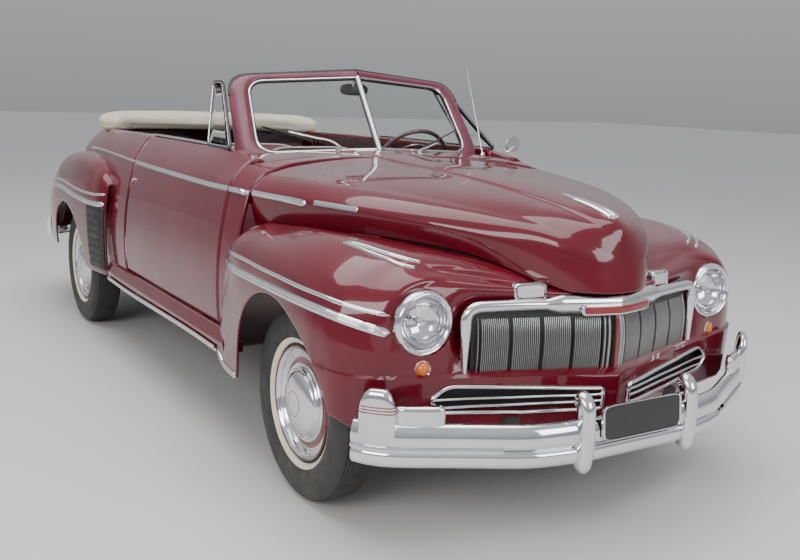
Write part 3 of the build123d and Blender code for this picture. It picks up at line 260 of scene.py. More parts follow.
def turned(profile, centre, axis, count=72):
    """Profile of (radius, along) pairs turned about axis through centre."""
    axis = np.asarray(axis, float) / np.linalg.norm(axis)
    first = unit(np.cross(axis, [0.0, 0.0, 1.0]) if abs(axis[2]) < 0.9 else np.cross(axis, [0.0, 1.0, 0.0]))
    second = np.cross(axis, first)
    angle = around(count)[:, None, None]
    radius, along = np.split(np.asarray(profile, float)[None], 2, axis=2)
    return np.asarray(centre, float) + axis * along + (first * np.cos(angle) + second * np.sin(angle)) * radius


def dish(outline, steps):
    """Closed outline of (u, v) pairs shrunk by each step's share about its middle and lifted by its rise: a row of
    points for each step."""
    outline = np.asarray(outline, float)
    return np.stack([np.column_stack([outline * share, np.full(len(outline), rise)]) for share, rise in steps])


def placed(grid, origin, across_way, up_way):
    """Grid of (u, v, w) moved to origin, with u along across_way, v near up_way and w square to both."""
    u = unit(across_way)
    w = unit(np.cross(u, np.asarray(up_way, float)))
    return np.asarray(origin, float) + grid[..., :1] * u + grid[..., 1:2] * np.cross(w, u) + grid[..., 2:] * w


def net(*grids):
    """Tree of the faces of surfaces, for finding the nearest point on them."""
    return BVHTree.FromPolygons(*faces_of(grids))


def laid(points, tree, count=70):
    """Smooth line through points in millimetres, moved onto a surface, and the outward direction there."""
    spots, ups = [], []
    for spot in smooth_line(points, count) * MM:
        near, normal, _, _ = tree.find_nearest(Vector(spot))
        core = Vector((near.x - 0.3, 0.0, 0.6))
        spots.append(near)
        ups.append(normal if normal.dot(near - core) > 0 else -normal)
    ups = np.array(ups)
    for _ in range(6):
        ups[1:-1] = (ups[:-2] + 2 * ups[1:-1] + ups[2:]) / 4
    return np.array(spots), ups


def half_round(width, height, count=12):
    """Strip's section in millimetres: half an oval of that width and height."""
    angle = np.linspace(0, np.pi, count)
    return np.stack([width / 2 * np.cos(angle), height * np.sin(angle) - 0.5], -1) * MM


def ribbed(width, height, ribs, count=7):
    """Strip's section in millimetres: a low bow with ribs along it."""
    t = np.linspace(-1, 1, ribs * count + 1)
    rise = height * np.sqrt(1 - 0.85 * t ** 2) * (0.72 + 0.28 * np.abs(np.cos(np.pi * ribs * (t + 1) / 2)))
    rise[[0, -1]] = -0.5
    return np.stack([width / 2 * t, rise], -1) * MM


def end_shares(path, width, ends):
    """Share of the full section at each step of a path whose ends are drawn in round over ends times its width."""
    run = chord(path)
    share = np.ones(len(path))
    for from_end, reach in ((run, ends[0] * width), (run[-1] - run, ends[1] * width)):
        if reach > 0:
            share = np.minimum(share,
                               np.sqrt(np.clip(1 - (1 - np.minimum(from_end / reach, 1.0)) ** 2, 0.0, 1.0)))
    return np.maximum(share, 0.02)


def strip(name, points, tree, profile, look, body="car_body", ends=(0.6, 0.6)):
    """Trim strip of a profile laid along a surface, on both sides of the car."""
    path, ups = laid(points, tree)
    share = end_shares(path, np.ptp(profile[:, 0]), ends)
    return both(name, carried(path, profile, ups, scale=share), look, body, wrap=TUBE)


# Finishes

def fill(tree, node, inputs):
    """Gives a node's inputs, by name or number, a value or a link from a socket."""
    for key, value in inputs.items():
        if isinstance(value, bpy.types.NodeSocket):
            tree.links.new(value, node.inputs[key])
        else:
            node.inputs[key].default_value = value


def add_node(tree, kind, inputs=None, **settings):
    """Shader node of a kind with its settings and inputs."""
    node = tree.nodes.new("ShaderNode" + kind)
    for key, value in settings.items():
        setattr(node, key, value)
    fill(tree, node, inputs or {})
    return node


def effect(name, inputs, outputs, build):
    """Shader group with its sockets: build takes its tree, its input sockets and the Object coordinates, and gives
    the socket that each output comes from."""
    group = bpy.data.node_groups.new(name, "ShaderNodeTree")
    for way, sockets in (("INPUT", inputs), ("OUTPUT", outputs)):
        for label, kind, *default in sockets:
            socket = group.interface.new_socket(label, in_out=way, socket_type="NodeSocket" + kind)
            if default:
                socket.default_value = default[0]
    start, end = group.nodes.new("NodeGroupInput"), group.nodes.new("NodeGroupOutput")
    where = group.nodes.new("ShaderNodeTexCoord").outputs["Object"]
    for socket, source in zip(end.inputs, build(group, start.outputs, where)):
        group.links.new(source, socket)
    return group


def grain_build(tree, given, where):
    """Pebbled grain: cells of a Voronoi pattern, as a bumped normal and a mask."""
    cells = add_node(tree, "TexVoronoi", {"Vector": where, "Scale": given["Scale"]}, feature="DISTANCE_TO_EDGE")
    soft = add_node(tree, "Math", {0: cells.outputs["Distance"], 1: 0.5}, operation="POWER").outputs[0]
    return add_node(tree, "Bump", {"Height": soft, "Distance": given["Depth"]}).outputs["Normal"], soft


def weave_build(tree, given, where):
    """Plain weave: two crossed sets of waves, the higher one on top, as a bumped normal and a mask."""
    waves = [add_node(tree, "TexWave", {"Vector": where, "Scale": given["Scale"], "Distortion": 0.6},
                      bands_direction=direction).outputs["Fac"] for direction in ("X", "Y")]
    top = add_node(tree, "Math", {0: waves[0], 1: waves[1]}, operation="MAXIMUM").outputs[0]
    return add_node(tree, "Bump", {"Height": top, "Distance": given["Depth"]}).outputs["Normal"], top


def haze_build(tree, given, where):
    """Slow patches of noise between a low and a high value, such as polish marks in a roughness."""
    noise = add_node(tree, "TexNoise",
                     {"Vector": where, "Scale": given["Scale"], "Detail": 5.0, "Roughness": 0.6})
    return add_node(tree, "MapRange", {"Value": noise.outputs["Fac"], "From Min": 0.35, "From Max": 0.68,
                                       "To Min": given["Low"], "To Max": given["High"]}).outputs["Result"],


def dust_build(tree, given, where):
    """Road dust: a colour laid over the given one, thickest near the floor and broken up by noise."""
    height = add_node(tree, "SeparateXYZ", {"Vector": where}).outputs["Z"]
    noise = add_node(tree, "TexNoise", {"Vector": where, "Scale": 18.0, "Detail": 6.0}).outputs["Fac"]
    low = add_node(tree, "MapRange",
                   {"Value": height, "From Min": given["Height"], "From Max": 0.0, "To Max": 1.0})
    patch = add_node(tree, "Math", {0: low.outputs["Result"], 1: noise}, operation="MULTIPLY").outputs[0]
    mask = add_node(tree, "Math", {0: patch, 1: given["Amount"]}, operation="MULTIPLY",
                    use_clamp=True).outputs[0]
    return add_node(tree, "Mix", {0: mask, 6: given["Color"], 7: given["Dust"]},
                    data_type="RGBA").outputs[2], mask


BUMPED = (("Normal", "Vector"), ("Mask", "Float"))
GRAIN = effect("grain", (("Scale", "Float", 300.0), ("Depth", "Float", 0.0006)), BUMPED, grain_build)
WEAVE = effect("weave", (("Scale", "Float", 500.0), ("Depth", "Float", 0.0005)), BUMPED, weave_build)
HAZE = effect("haze", (("Scale", "Float", 6.0), ("Low", "Float", 0.05), ("High", "Float", 0.12)),
              (("Value", "Float"),), haze_build)
DUST = effect("dust", (("Color", "Color", (0.5, 0.5, 0.5, 1)), ("Dust", "Color", (0.30, 0.26, 0.21, 1)),
                       ("Height", "Float", 0.5), ("Amount", "Float", 0.3)),
              (("Color", "Color"), ("Mask", "Float")), dust_build)


def finish_of(name, colour, rough=(0.3, 0.4), haze_scale=6.0, metal=0.0, coat=0.0, dust=0.0, grain=None,
              weave=None, glass=0.0, ior=1.5, sheen=0.0, tint=None):
    """Material of one finish: base colour with an optional second tint in patches and road dust, roughness
    between two values in patches, and pebbled grain or a weave as its surface."""
    made = bpy.data.materials.new(name)
    made.use_nodes = True
    tree = made.node_tree
    shade = tuple(colour) + (1.0,)
    haze = add_node(tree, "Group", {"Scale": haze_scale, "Low": rough[0], "High": rough[1]}, node_tree=HAZE)
    if tint is not None:
        patches = add_node(tree, "Group", {"Scale": 4.0, "Low": 0.0, "High": 1.0}, node_tree=HAZE)
        shade = add_node(tree, "Mix", {0: patches.outputs["Value"], 6: shade, 7: tuple(tint) + (1.0,)},
                         data_type="RGBA").outputs[2]
    if dust:
        shade = add_node(tree, "Group", {"Color": shade, "Amount": dust}, node_tree=DUST).outputs["Color"]
    inputs = {"Base Color": shade, "Roughness": haze.outputs["Value"], "Metallic": metal, "Coat Weight": coat,
              "Coat Roughness": 0.03, "Transmission Weight": glass, "IOR": ior, "Sheen Weight": sheen}
    if coat > 0.8:
        inputs["Specular IOR Level"] = 0.15
    for group, size in ((GRAIN, grain), (WEAVE, weave)):
        if size:
            inputs["Normal"] = add_node(tree, "Group", {"Scale": size[0], "Depth": size[1]},
                                        node_tree=group).outputs["Normal"]
    fill(tree, tree.nodes["Principled BSDF"], inputs)
    return made


PAINT = finish_of("maroon_paint", (0.125, 0.0018, 0.0105), (0.24, 0.34), 3.0, coat=0.9, dust=0.03,
                  tint=(0.098, 0.0016, 0.0090))
SATIN = finish_of("satin_maroon", (0.105, 0.013, 0.030), (0.32, 0.45), 5.0, coat=0.3,
                  tint=(0.20, 0.03, 0.06))
CHROME = finish_of("bright_chrome", (0.80, 0.80, 0.82), (0.04, 0.11), 9.0, metal=1.0,
                   tint=(0.72, 0.72, 0.74))
DULL_CHROME = finish_of("fin_steel", (0.47, 0.465, 0.46), (0.30, 0.42), 14.0, metal=0.9,
                        tint=(0.38, 0.38, 0.375))
DARK_STEEL = finish_of("dark_frame", (0.07, 0.07, 0.075), (0.18, 0.3), 20.0, metal=0.8)
WHEEL_PLASTIC = finish_of("wheel_rim", (0.10, 0.035, 0.05), (0.15, 0.28), 12.0, coat=0.4)
RUBBER = finish_of("tyre_rubber", (0.020, 0.020, 0.021), (0.55, 0.8), 20.0, dust=0.22,
                   grain=(900.0, 0.0002))
TRIM_RUBBER = finish_of("black_rubber", (0.018, 0.018, 0.02), (0.4, 0.6), 20.0)
WHITE_BAND = finish_of("white_band", (0.78, 0.75, 0.66), (0.45, 0.6), 20.0, dust=0.25,
                       tint=(0.72, 0.67, 0.52))
BLACK = finish_of("chassis_black", (0.015, 0.015, 0.016), (0.4, 0.6), 8.0, dust=0.8)
IRON = finish_of("cast_grey", (0.09, 0.09, 0.09), (0.5, 0.7), 12.0, dust=0.6,
                 grain=(500.0, 0.0003))
STEEL = finish_of("pipe_steel", (0.28, 0.25, 0.22), (0.4, 0.6), 10.0, metal=1.0,
                  tint=(0.20, 0.12, 0.08))
GLASS = finish_of("clear_glass", (0.93, 0.97, 0.95), (0.0, 0.01), 5.0, glass=1.0, ior=1.12)
LENS = finish_of("lamp_lens", (0.95, 0.96, 0.97), (0.02, 0.06), 60.0, glass=1.0, ior=1.35)
AMBER = finish_of("amber_lens", (0.95, 0.22, 0.02), (0.06, 0.14), 60.0, glass=0.35, coat=0.6)
RED_LENS = finish_of("red_lens", (0.55, 0.01, 0.01), (0.06, 0.14), 60.0, glass=0.3, coat=0.6)
WHEEL_RED = finish_of("wheel_maroon", (0.13, 0.004, 0.014), (0.2, 0.3), 6.0, coat=0.8, dust=0.5)
RIBBED_LENS = finish_of("ribbed_lens", (0.56, 0.56, 0.53), (0.10, 0.2), 60.0, coat=0.6)
RED_ENAMEL = finish_of("red_enamel", (0.23, 0.008, 0.012), (0.12, 0.25), 30.0, coat=0.6)
LEATHER = finish_of("seat_leather", (0.095, 0.011, 0.024), (0.38, 0.55), 9.0,
                    grain=(420.0, 0.0008), sheen=0.05,
                    tint=(0.17, 0.028, 0.055))
PIPING = finish_of("seat_piping", (0.62, 0.56, 0.50), (0.4, 0.5), 20.0, grain=(700.0, 0.0003))
CANVAS = finish_of("cream_canvas", (0.74, 0.69, 0.56), (0.75, 0.9), 12.0, weave=(420.0, 0.0009),
                   sheen=0.3,
                   tint=(0.68, 0.62, 0.48))
CARPET = finish_of("dark_carpet", (0.055, 0.012, 0.02), (0.85, 0.95), 30.0,
                   grain=(1500.0, 0.002), sheen=0.4)
PLASTIC = finish_of("wheel_cream", (0.55, 0.50, 0.42), (0.15, 0.3), 12.0, coat=0.4)
PLATE_BLACK = finish_of("plate_black", (0.012, 0.012, 0.013), (0.25, 0.4), 20.0, coat=0.3)


# Body surfaces: sections in millimetres, as in the part's own tables

# Columns: x, low_y, low_z, belt_y, belt_z, shoulder_y, shoulder_z, crease_y, crease_z, top_z, lean
HOOD = np.array((
    (960, 800, 900, 803, 1062, 690, 1140, 126, 1186, 1194, 0.0),
    (1165, 745, 915, 775, 1060, 650, 1128, 120, 1172, 1180, 0.0),
    (1476, 660, 945, 690, 1054, 565, 1118, 116, 1163, 1170, 0.0),
    (1836, 530, 957, 547, 1040, 430, 1100, 110, 1142, 1150, 0.0),
    (2118, 360, 927, 376, 1010, 290, 1070, 99, 1112, 1122, 0.0),
    (2282, 235, 864, 242, 975, 195, 1040, 88, 1086, 1098, 0.02),
    (2345, 172, 842, 176, 945, 148, 1012, 70, 1066, 1082, 0.07),
    (2378, 116, 840, 118, 925, 98, 985, 50, 1046, 1066, 0.12),
    (2392, 66, 838, 67, 912, 55, 965, 30, 1026, 1050, 0.15),
    (2398, 0, 837, 0, 903, 0, 952, 0, 1000, 1030, 0.15),
))
NOSE_TOP_Z = 1051.0


def hood_grid(stations=260):
    """Bonnet: low edge, belt, shoulder, the step at the crease and the crown, at stations along the bonnet, with
    the rows leaning towards the nose."""
    reach = chord(HOOD[:, :2])
    row = through(reach, HOOD, np.linspace(0, reach[-1], stations))
    x, lean = row[:, 0], row[:, 10]
    low, belt, shoulder = row[:, 1:3], row[:, 3:5], row[:, 5:7]
    step = np.clip(row[:, 7:8] / 90.0, 0, 1)
    outer = row[:, 7:9] + step * np.array([5.0, -7.0])
    inner = row[:, 7:9] + step * np.array([-4.0, 1.0])
    side = section(
        np.stack([low, belt, shoulder, outer, inner], 1), (-5.0, -16.0, -9.0, 0.0), (16, 16, 34, 3), rounds=3
    )
    part = np.linspace(1, 0, 13)[None, 1:, None]
    y = inner[:, None, :1] * part
    z = row[:, None, 9:10] - (row[:, 9] - inner[:, 1])[:, None, None] * part ** 2
    half = np.concatenate([side, np.concatenate([y, z], -1)], 1)
    fade = np.clip((np.linspace(0, 1, stations) - 0.80) / 0.20, 0, 1)[:, None]
    half[..., 0] = np.clip(half[..., 0] - fade * fade * half[-1:, :, 0], 0, None)
    slant = lean[:, None] * (NOSE_TOP_Z - half[..., 1])
    return np.concatenate([(x[:, None] + slant)[..., None], half], -1) * MM


def hood_rear(y):
    """Bonnet's rear shut line in plan, in metres."""
    return np.interp(np.abs(y), (0, 0.250, 0.560, 0.735, 0.900), (1.004, 1.016, 1.074, 1.163, 1.175))


hood_half = hood_grid()
start = crossing(hood_half[..., 0] - hood_rear(hood_half[..., 1]))
hood_half = trimmed(hood_half, start, len(hood_half) - 1.0, 82)
hood = piece("bonnet", both_sides(hood_half), PAINT, "hood", wall=0.014, centre=(0.0, 0.7))
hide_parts("hood")

# Columns: x, sill_y, hip_y, belt_y, belt_z, shoulder_y, shoulder_z, crease_y, crease_z, top_z
COWL = np.array((
    (700, 833, 852, 795, 1066, 712, 1166, 132, 1196, 1204),
    (1000, 833, 848, 794, 1064, 694, 1151, 125, 1183, 1190),
    (1175, 833, 848, 772, 1060, 648, 1127, 120, 1171, 1179),
    (1330, 833, 848, 735, 1057, 608, 1122, 118, 1167, 1175),
))
SILL_Z = 440.0
HIP_Z = 640.0


def hip_line(low, hip, belt, count):
    """Side of the body from the sill over the hip to the belt: the parabola through the three points."""
    z = low[:, None, 1:] + (belt - low)[:, None, 1:] * np.linspace(0, 1, count + 1)[None, :-1, None]
    knots = [point[:, None, 1:] for point in (low, hip, belt)]
    y = 0
    for k, point in enumerate((low, hip, belt)):
        others = [knots[i] for i in range(3) if i != k]
        weight = (z - others[0]) * (z - others[1]) / ((knots[k] - others[0]) * (knots[k] - others[1]))
        y = y + point[:, None, :1] * weight
    return np.concatenate([y, z], -1)


def cowl_grid(stations=90):
    """Cowl: sill, hip, belt, shoulder, crease step and crown at stations from the windscreen to the bonnet."""
    at = np.linspace(COWL[0, 0], COWL[-1, 0], stations)
    row = through(COWL[:, 0], COWL, at)
    low = np.stack([row[:, 1], np.full(stations, SILL_Z)], -1)
    hip = np.stack([row[:, 2], np.full(stations, HIP_Z)], -1)
    belt, shoulder = row[:, 3:5], row[:, 5:7]
    outer, inner = row[:, 7:9] + np.array([5.0, -7.0]), row[:, 7:9] + np.array([-4.0, 1.0])
    side = hip_line(low, hip, belt, 40)
    top = section(np.stack([belt, shoulder, outer, inner], 1), (-16.0, -9.0, 0.0), (16, 34, 3), rounds=0)
    part = np.linspace(1, 0, 13)[None, 1:, None]
    y = inner[:, None, :1] * part
    z = row[:, None, 9:10] - (row[:, 9] - inner[:, 1])[:, None, None] * part ** 2
    half = np.concatenate([side, top, np.concatenate([y, z], -1)], 1)
    for _ in range(3):
        half[:, 1:-1] = half[:, 1:-1] / 2 + (half[:, 2:] + half[:, :-2]) / 4
    x = np.broadcast_to(at[:, None, None], half[..., :1].shape)
    return np.concatenate([x, half], -1) * MM


SHUT_GAP = 0.006
DOOR_FRONT_X, DOOR_REAR_X, DOOR_BOTTOM_Z = 1.008, -0.300, 0.500


def door_front(z):
    """Door's front shut line: upright to the belt, then slanting back."""
    return DOOR_FRONT_X - 0.060 * np.clip((z - 1.066) / 0.234, 0, 1)


cowl_half = cowl_grid()
end = crossing(cowl_half[..., 0] - hood_rear(cowl_half[..., 1]) + SHUT_GAP)
column_z = cowl_half[40, :, 2]
side_columns = int(np.argmax(column_z > 1.150))
start = crossing(cowl_half[..., 0] - door_front(cowl_half[..., 2]) - SHUT_GAP)
side_part = trimmed(cowl_half[:, : side_columns + 1], start[: side_columns + 1], end[: side_columns + 1], 16)
top_start = crossing(cowl_half[..., 0] - 0.790)
top_part = trimmed(cowl_half[:, side_columns:], top_start[side_columns:], end[side_columns:], 26)
cowl_grids = [both_sides(top_part)]
for name, side in SIDES:
    cowl_grids.append(sided(side_part, side))
cowl = piece("cowl_panel", cowl_grids, PAINT, wall=0.014, centre=(0.0, 0.7))
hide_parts("cowl")

# Columns: x, low_y, low_z, side_y, side_z, belt_y, belt_z, deck_y, deck_z, top_z
SIDE = np.array((
    (1120, 833, 440, 848, 640, 795, 1066, 692, 1140, 1160),
    (980, 834, 440, 849, 640, 795, 1066, 696, 1160, 1176),
    (820, 834, 440, 850, 640, 795, 1066, 702, 1184, 1192),
    (360, 836, 440, 852, 640, 795, 1066, 706, 1190, 1196),
    (-300, 836, 440, 852, 640, 789, 1066, 704, 1189, 1200),
    (-600, 836, 440, 852, 640, 784, 1066, 702, 1188, 1202),
    (-900, 825, 440, 843, 640, 774, 1066, 696, 1184, 1204),
    (-1240, 806, 440, 828, 640, 761, 1066, 686, 1177, 1200),
    (-1500, 770, 440, 790, 640, 742, 1055, 655, 1158, 1182),
    (-1850, 660, 440, 680, 640, 655, 985, 560, 1075, 1108),
    (-2150, 540, 450, 565, 620, 550, 850, 445, 945, 982),
    (-2340, 440, 460, 465, 580, 455, 720, 360, 800, 832),
    (-2420, 360, 470, 385, 540, 375, 620, 300, 680, 700),
    (-2450, 290, 485, 305, 530, 298, 565, 230, 600, 612),
))


def side_grid(stations=420):
    """Body side from the sill over hip and belt to the deck's edge, at stations from the door to the tail."""
    reach = -SIDE[:, 0]
    at = np.linspace(reach[0], reach[-1], stations)
    row = through(reach, SIDE, at)
    low, hip, belt, deck = row[:, 1:3], row[:, 3:5], row[:, 5:7], row[:, 7:9]
    side = hip_line(low, hip, belt, 44)
    half = np.concatenate([side, section(np.stack([belt, deck], 1), (-8.0,), (16,), rounds=0)], 1)
    for _ in range(3):
        half[:, 1:-1] = half[:, 1:-1] / 2 + (half[:, 2:] + half[:, :-2]) / 4
    x = np.broadcast_to(-at[:, None, None], half[..., :1].shape)
    return np.concatenate([x, half], -1) * MM


SIDE_GRID = side_grid()


def with_ledge(grid, width, drop):
    """Grid with a rolled ledge added after its last column: inwards by width, then down by drop."""
    last = grid[:, -1:, :]
    steps = ((-0.006, 0.004), (-0.016, 0.006), (-width + 0.010, 0.006), (-width, 0.002),
             (-width - 0.003, -drop))
    return np.concatenate([grid] + [last + np.array([0.0, y, z]) for y, z in steps], 1)


DECK_FRONT_X = -1.460
door_cut = across(SIDE_GRID)
door_cut = across(trimmed(door_cut, crossing(door_cut[..., 2] - DOOR_BOTTOM_Z), len(door_cut) - 1.0, 52))
start = crossing(door_front(door_cut[..., 2]) - door_cut[..., 0])
end = crossing(DOOR_REAR_X - door_cut[..., 0])
door_skin = with_ledge(trimmed(door_cut, start, end, 60), 0.062, 0.030)
quarter_skin = trimmed(SIDE_GRID, crossing(DOOR_REAR_X - SHUT_GAP - SIDE_GRID[..., 0]),
                       crossing(DECK_FRONT_X - SIDE_GRID[..., 0]), 50)
quarter_skin = with_ledge(quarter_skin, 0.066, 0.030)
tail_skin = trimmed(SIDE_GRID, crossing(DECK_FRONT_X - SIDE_GRID[..., 0]), len(SIDE_GRID) - 1.0, 64)

# Deck behind the cabin, with the boot lid cut from it; the lid's edge narrows with the body
LID_SHARE = 0.80
LID_FRONT_X, LID_LOW_Z = -1.482, 0.660


def deck_grid(shares):
    """Deck from the body side's edge: the height falls with the square of the distance from the middle."""
    row = through(-SIDE[:, 0], SIDE, np.linspace(1460.0, 2450.0, 90))
    deck_y, deck_z, top = row[:, 7:8], row[:, 8:9], row[:, 9:10]
    y = deck_y * shares[None, :]
    z = top - (top - deck_z) * shares[None, :] ** 2
    x = np.broadcast_to(row[:, :1], y.shape)
    return np.stack([x, y, z], -1) * MM


gap_share = SHUT_GAP / 0.56
lid_shares = np.linspace(LID_SHARE, -LID_SHARE, 49)
lid_all = deck_grid(lid_shares)
lid_end = crossing(LID_LOW_Z - lid_all[..., 2])
lid_start = crossing(LID_FRONT_X - lid_all[..., 0])
lid_skin = trimmed(lid_all, lid_start, lid_end, 72)
boot_lid = piece("boot_lid_panel", lid_skin, PAINT, "boot_lid", wall=0.014, centre=(0.0, 0.6))
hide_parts("boot_lid")
edge_shares = np.linspace(1.0, LID_SHARE + gap_share, 9)
edge_left = deck_grid(edge_shares)
wide = deck_grid(np.linspace(LID_SHARE + gap_share, -LID_SHARE - gap_share, 49))
front_strip = trimmed(wide, 0.0, crossing(LID_FRONT_X + SHUT_GAP - wide[..., 0]), 4)
lower_strip = trimmed(wide, crossing(LID_LOW_Z - SHUT_GAP - wide[..., 2]), len(wide) - 1.0, 16)
rear_grids = [front_strip, lower_strip]
for name, side in SIDES:
    rear_grids += [sided(quarter_skin, side), sided(tail_skin, side), sided(edge_left, side)]
end_line = SIDE_GRID[-1]
deck_line = deck_grid(np.linspace(1, -1, 60))[-1]
tail_ring = np.concatenate([end_line, deck_line, sided(end_line[::-1], RIGHT)])
tail_middle = tail_ring.mean(axis=0)
steps = np.array([1.0, 0.9, 0.7, 0.35, 0.0])[:, None, None]
tail_cap = tail_middle + (tail_ring - tail_middle)[None] * steps
tail_cap[..., 0] = end_line[0, 0] - 0.014 * np.sqrt(np.clip(1 - steps[..., 0] ** 2, 0, 1))
rear_grids.append(tail_cap)
rear_body = piece("rear_body_panel", rear_grids, PAINT, wall=0.014, centre=(0.0, 0.6))
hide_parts("rear_body")
for name, side in SIDES:
    door = piece(f"door_panel_{name}", sided(door_skin, side), PAINT, f"door_{name}",
                 wall=0.014, centre=(0.0, 0.7))
    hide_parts(f"door_{name}")

# Front fender: points of each station from the bonnet's edge over the crown and down the side. The last stations
# fan out round the corner and along the front. Columns: seven points of x, y, z; the ledge's depth
FENDER = np.array((
    (1120, 780, 846, 1122, 806, 857, 1124, 828, 858, 1122, 846, 836, 1098, 856, 700, 1078, 857, 597, 1036, 856,
     392, 0),
    (1172, 750, 871, 1174, 785, 886, 1176, 816, 886, 1172, 854, 851, 1152, 868, 712, 1142, 867, 597, 1112, 863,
     354, 0),
    (1242, 707, 907, 1242, 755, 925, 1242, 800, 926, 1242, 866, 872, 1242, 886, 730, 1242, 882, 597, 1242, 872,
     344, 0),
    (1476, 640, 935, 1476, 702, 956, 1476, 762, 960, 1476, 868, 900, 1476, 909, 745, 1476, 905, 597, 1476, 888,
     420, 0),
    (1700, 563, 948, 1700, 660, 968, 1700, 755, 970, 1700, 878, 905, 1700, 922, 745, 1700, 918, 600, 1700, 902,
     440, 0),
    (1900, 477, 946, 1900, 610, 968, 1900, 738, 966, 1900, 874, 892, 1900, 928, 740, 1900, 922, 600, 1900, 906,
     450, 0),
    (2020, 405, 936, 2020, 565, 956, 2020, 718, 951, 2020, 856, 878, 2020, 920, 722, 2020, 914, 600, 2020, 900,
     450, 2),
    (2100, 365, 926, 2098, 530, 944, 2095, 700, 936, 2105, 832, 860, 2112, 895, 705, 2112, 890, 600, 2108, 882,
     447, 8),
    (2142, 338, 916, 2138, 500, 934, 2130, 668, 924, 2158, 788, 846, 2172, 838, 690, 2174, 840, 598, 2168, 834,
     420, 14),
    (2178, 310, 905, 2168, 470, 922, 2152, 630, 914, 2192, 722, 848, 2212, 762, 680, 2214, 766, 596, 2206, 762,
     405, 20),
    (2208, 286, 893, 2192, 430, 910, 2170, 580, 905, 2210, 645, 868, 2234, 668, 680, 2238, 672, 594, 2230, 670,
     400, 24),
    (2236, 262, 880, 2218, 385, 899, 2192, 510, 896, 2228, 560, 862, 2250, 572, 690, 2256, 580, 592, 2250, 580,
     400, 28),
    (2262, 236, 866, 2246, 335, 884, 2222, 430, 884, 2256, 470, 850, 2212, 486, 690, 2276, 492, 590, 2272, 492,
     400, 30),
    (2290, 206, 850, 2278, 276, 866, 2262, 340, 868, 2290, 362, 842, 2240, 374, 690, 2310, 380, 588, 2306, 380,
     400, 30),
    (2328, 172, 838, 2322, 200, 846, 2316, 224, 848, 2334, 232, 830, 2270, 240, 690, 2348, 245, 586, 2344, 245,
     400, 30),
    (2376, 66, 832, 2374, 68, 834, 2374, 70, 833, 2384, 71, 822, 2320, 72, 690, 2396, 74, 584, 2392, 74, 400,
     30),
    (2390, 0, 830, 2389, 0, 832, 2390, 0, 831, 2398, 0, 820, 2334, 0, 690, 2410, 0, 583, 2406, 0, 400, 30),
), float)
ARCH_X, ARCH_RADIUS, AXLE_Z = 1.683, 0.405, 0.355
REAR_ARCH_X, REAR_ARCH_RADIUS = -1.314, 0.392


def fender_grid(stations=330):
    """Fender: smooth curves through the stations, each a smooth curve through its own points, with a ledge that
    stands out below the crease."""
    reach = chord(FENDER[:, 9:15])
    row = through(reach, FENDER, np.linspace(0, reach[-1], stations))
    points = row[:, :21].reshape(stations, 7, 3)
    outward = points[:, 4, :2] - np.stack([points[:, 4, 0] - 100, points[:, 4, 1] * 0.4], -1)
    outward /= np.linalg.norm(outward, axis=1, keepdims=True)
    ledge = np.concatenate([outward * row[:, 21:22], np.zeros((stations, 1))], 1)
    lip = points[:, 5] + ledge
    lip[:, 2] -= 12.0 * row[:, 21] / 30.0
    points = np.concatenate([points[:, :6], lip[:, None], (points[:, 6] + ledge * 0.75)[:, None]], 1)
    parts = []
    counts = (14, 12, 22, 24, 14, 3, 20)
    knots = np.array([0.0, 1.0, 2.0, 3.1, 4.6, 5.6, 5.85, 7.0])
    upper = across(points[:, :6])
    at = np.concatenate([np.linspace(knots[k], knots[k + 1], counts[k], endpoint=False) for k in range(5)])
    parts.append(across(through(knots[:6], upper, at)))
    for k in (5, 6):
        t = np.linspace(0, 1, counts[k] + 1)[None, : None if k == 6 else -1, None]
        parts.append(points[:, k: k + 1] * (1 - t) + points[:, k + 1: k + 2] * t)
    grid = np.concatenate(parts, 1)
    reach = np.hypot(grid[..., 1] - LAMP_SPOT[1], grid[..., 2] - LAMP_SPOT[2])
    seat = np.clip((172 - reach) / 62, 0, 1)
    seat = seat * seat * (3 - 2 * seat)
    front = grid[..., 0] > 2100
    level = np.maximum(grid[..., 0], LAMP_SPOT[0] - 12)
    grid[..., 0] = np.where(front, grid[..., 0] + (level - grid[..., 0]) * seat, grid[..., 0])
    pocket = np.clip((100 - reach) / 5, 0, 1) * front
    grid[..., 0] = grid[..., 0] * (1 - pocket) + (LAMP_SPOT[0] - 75) * pocket
    return grid * MM


LAMP_SPOT = (2224.0, 648.0, 756.0)
FENDER_GRID = fender_grid()


def arch_cut(grid, arch_x, radius, count):
    """Grid whose columns end where its rows enter the wheel's round arch."""
    flipped = across(grid)
    inside = radius ** 2 - (flipped[..., 0] - arch_x) ** 2 - (flipped[..., 2] - AXLE_Z) ** 2
    return across(trimmed(flipped, 0.0, crossing(inside), count))


# Openings in the front, as corners (y, z) in order round them
GRILLE_MOUTH = ((-60, 588), (492, 588), (506, 700), (490, 792), (-60, 800))
LOWER_MOUTH = ((58, 456), (588, 469), (628, 511), (578, 551), (58, 522))


def sunk(grid, corners, depth, edge):
    """Grid pushed back by depth inside a convex outline seen from ahead, over a wall of width edge."""
    inside = np.full(grid.shape[:2], 1e9)
    for (y0, z0), (y1, z1) in zip(corners, corners[1:] + corners[:1]):
        length = np.hypot(y1 - y0, z1 - z0)
        away = ((y1 - y0) * (grid[..., 2] * 1000 - z0) - (z1 - z0) * (grid[..., 1] * 1000 - y0)) / length
        inside = np.minimum(inside, away)
    share = np.clip(inside / edge, 0, 1) * (grid[..., 0] > 2.15)
    moved = grid.copy()
    moved[..., 0] -= depth * MM * share
    return moved


fender_cut = sunk(sunk(FENDER_GRID, GRILLE_MOUTH, 45.0, 5.0), LOWER_MOUTH, 55.0, 7.0)
fender_cut = arch_cut(fender_cut, ARCH_X, ARCH_RADIUS, fender_cut.shape[1])
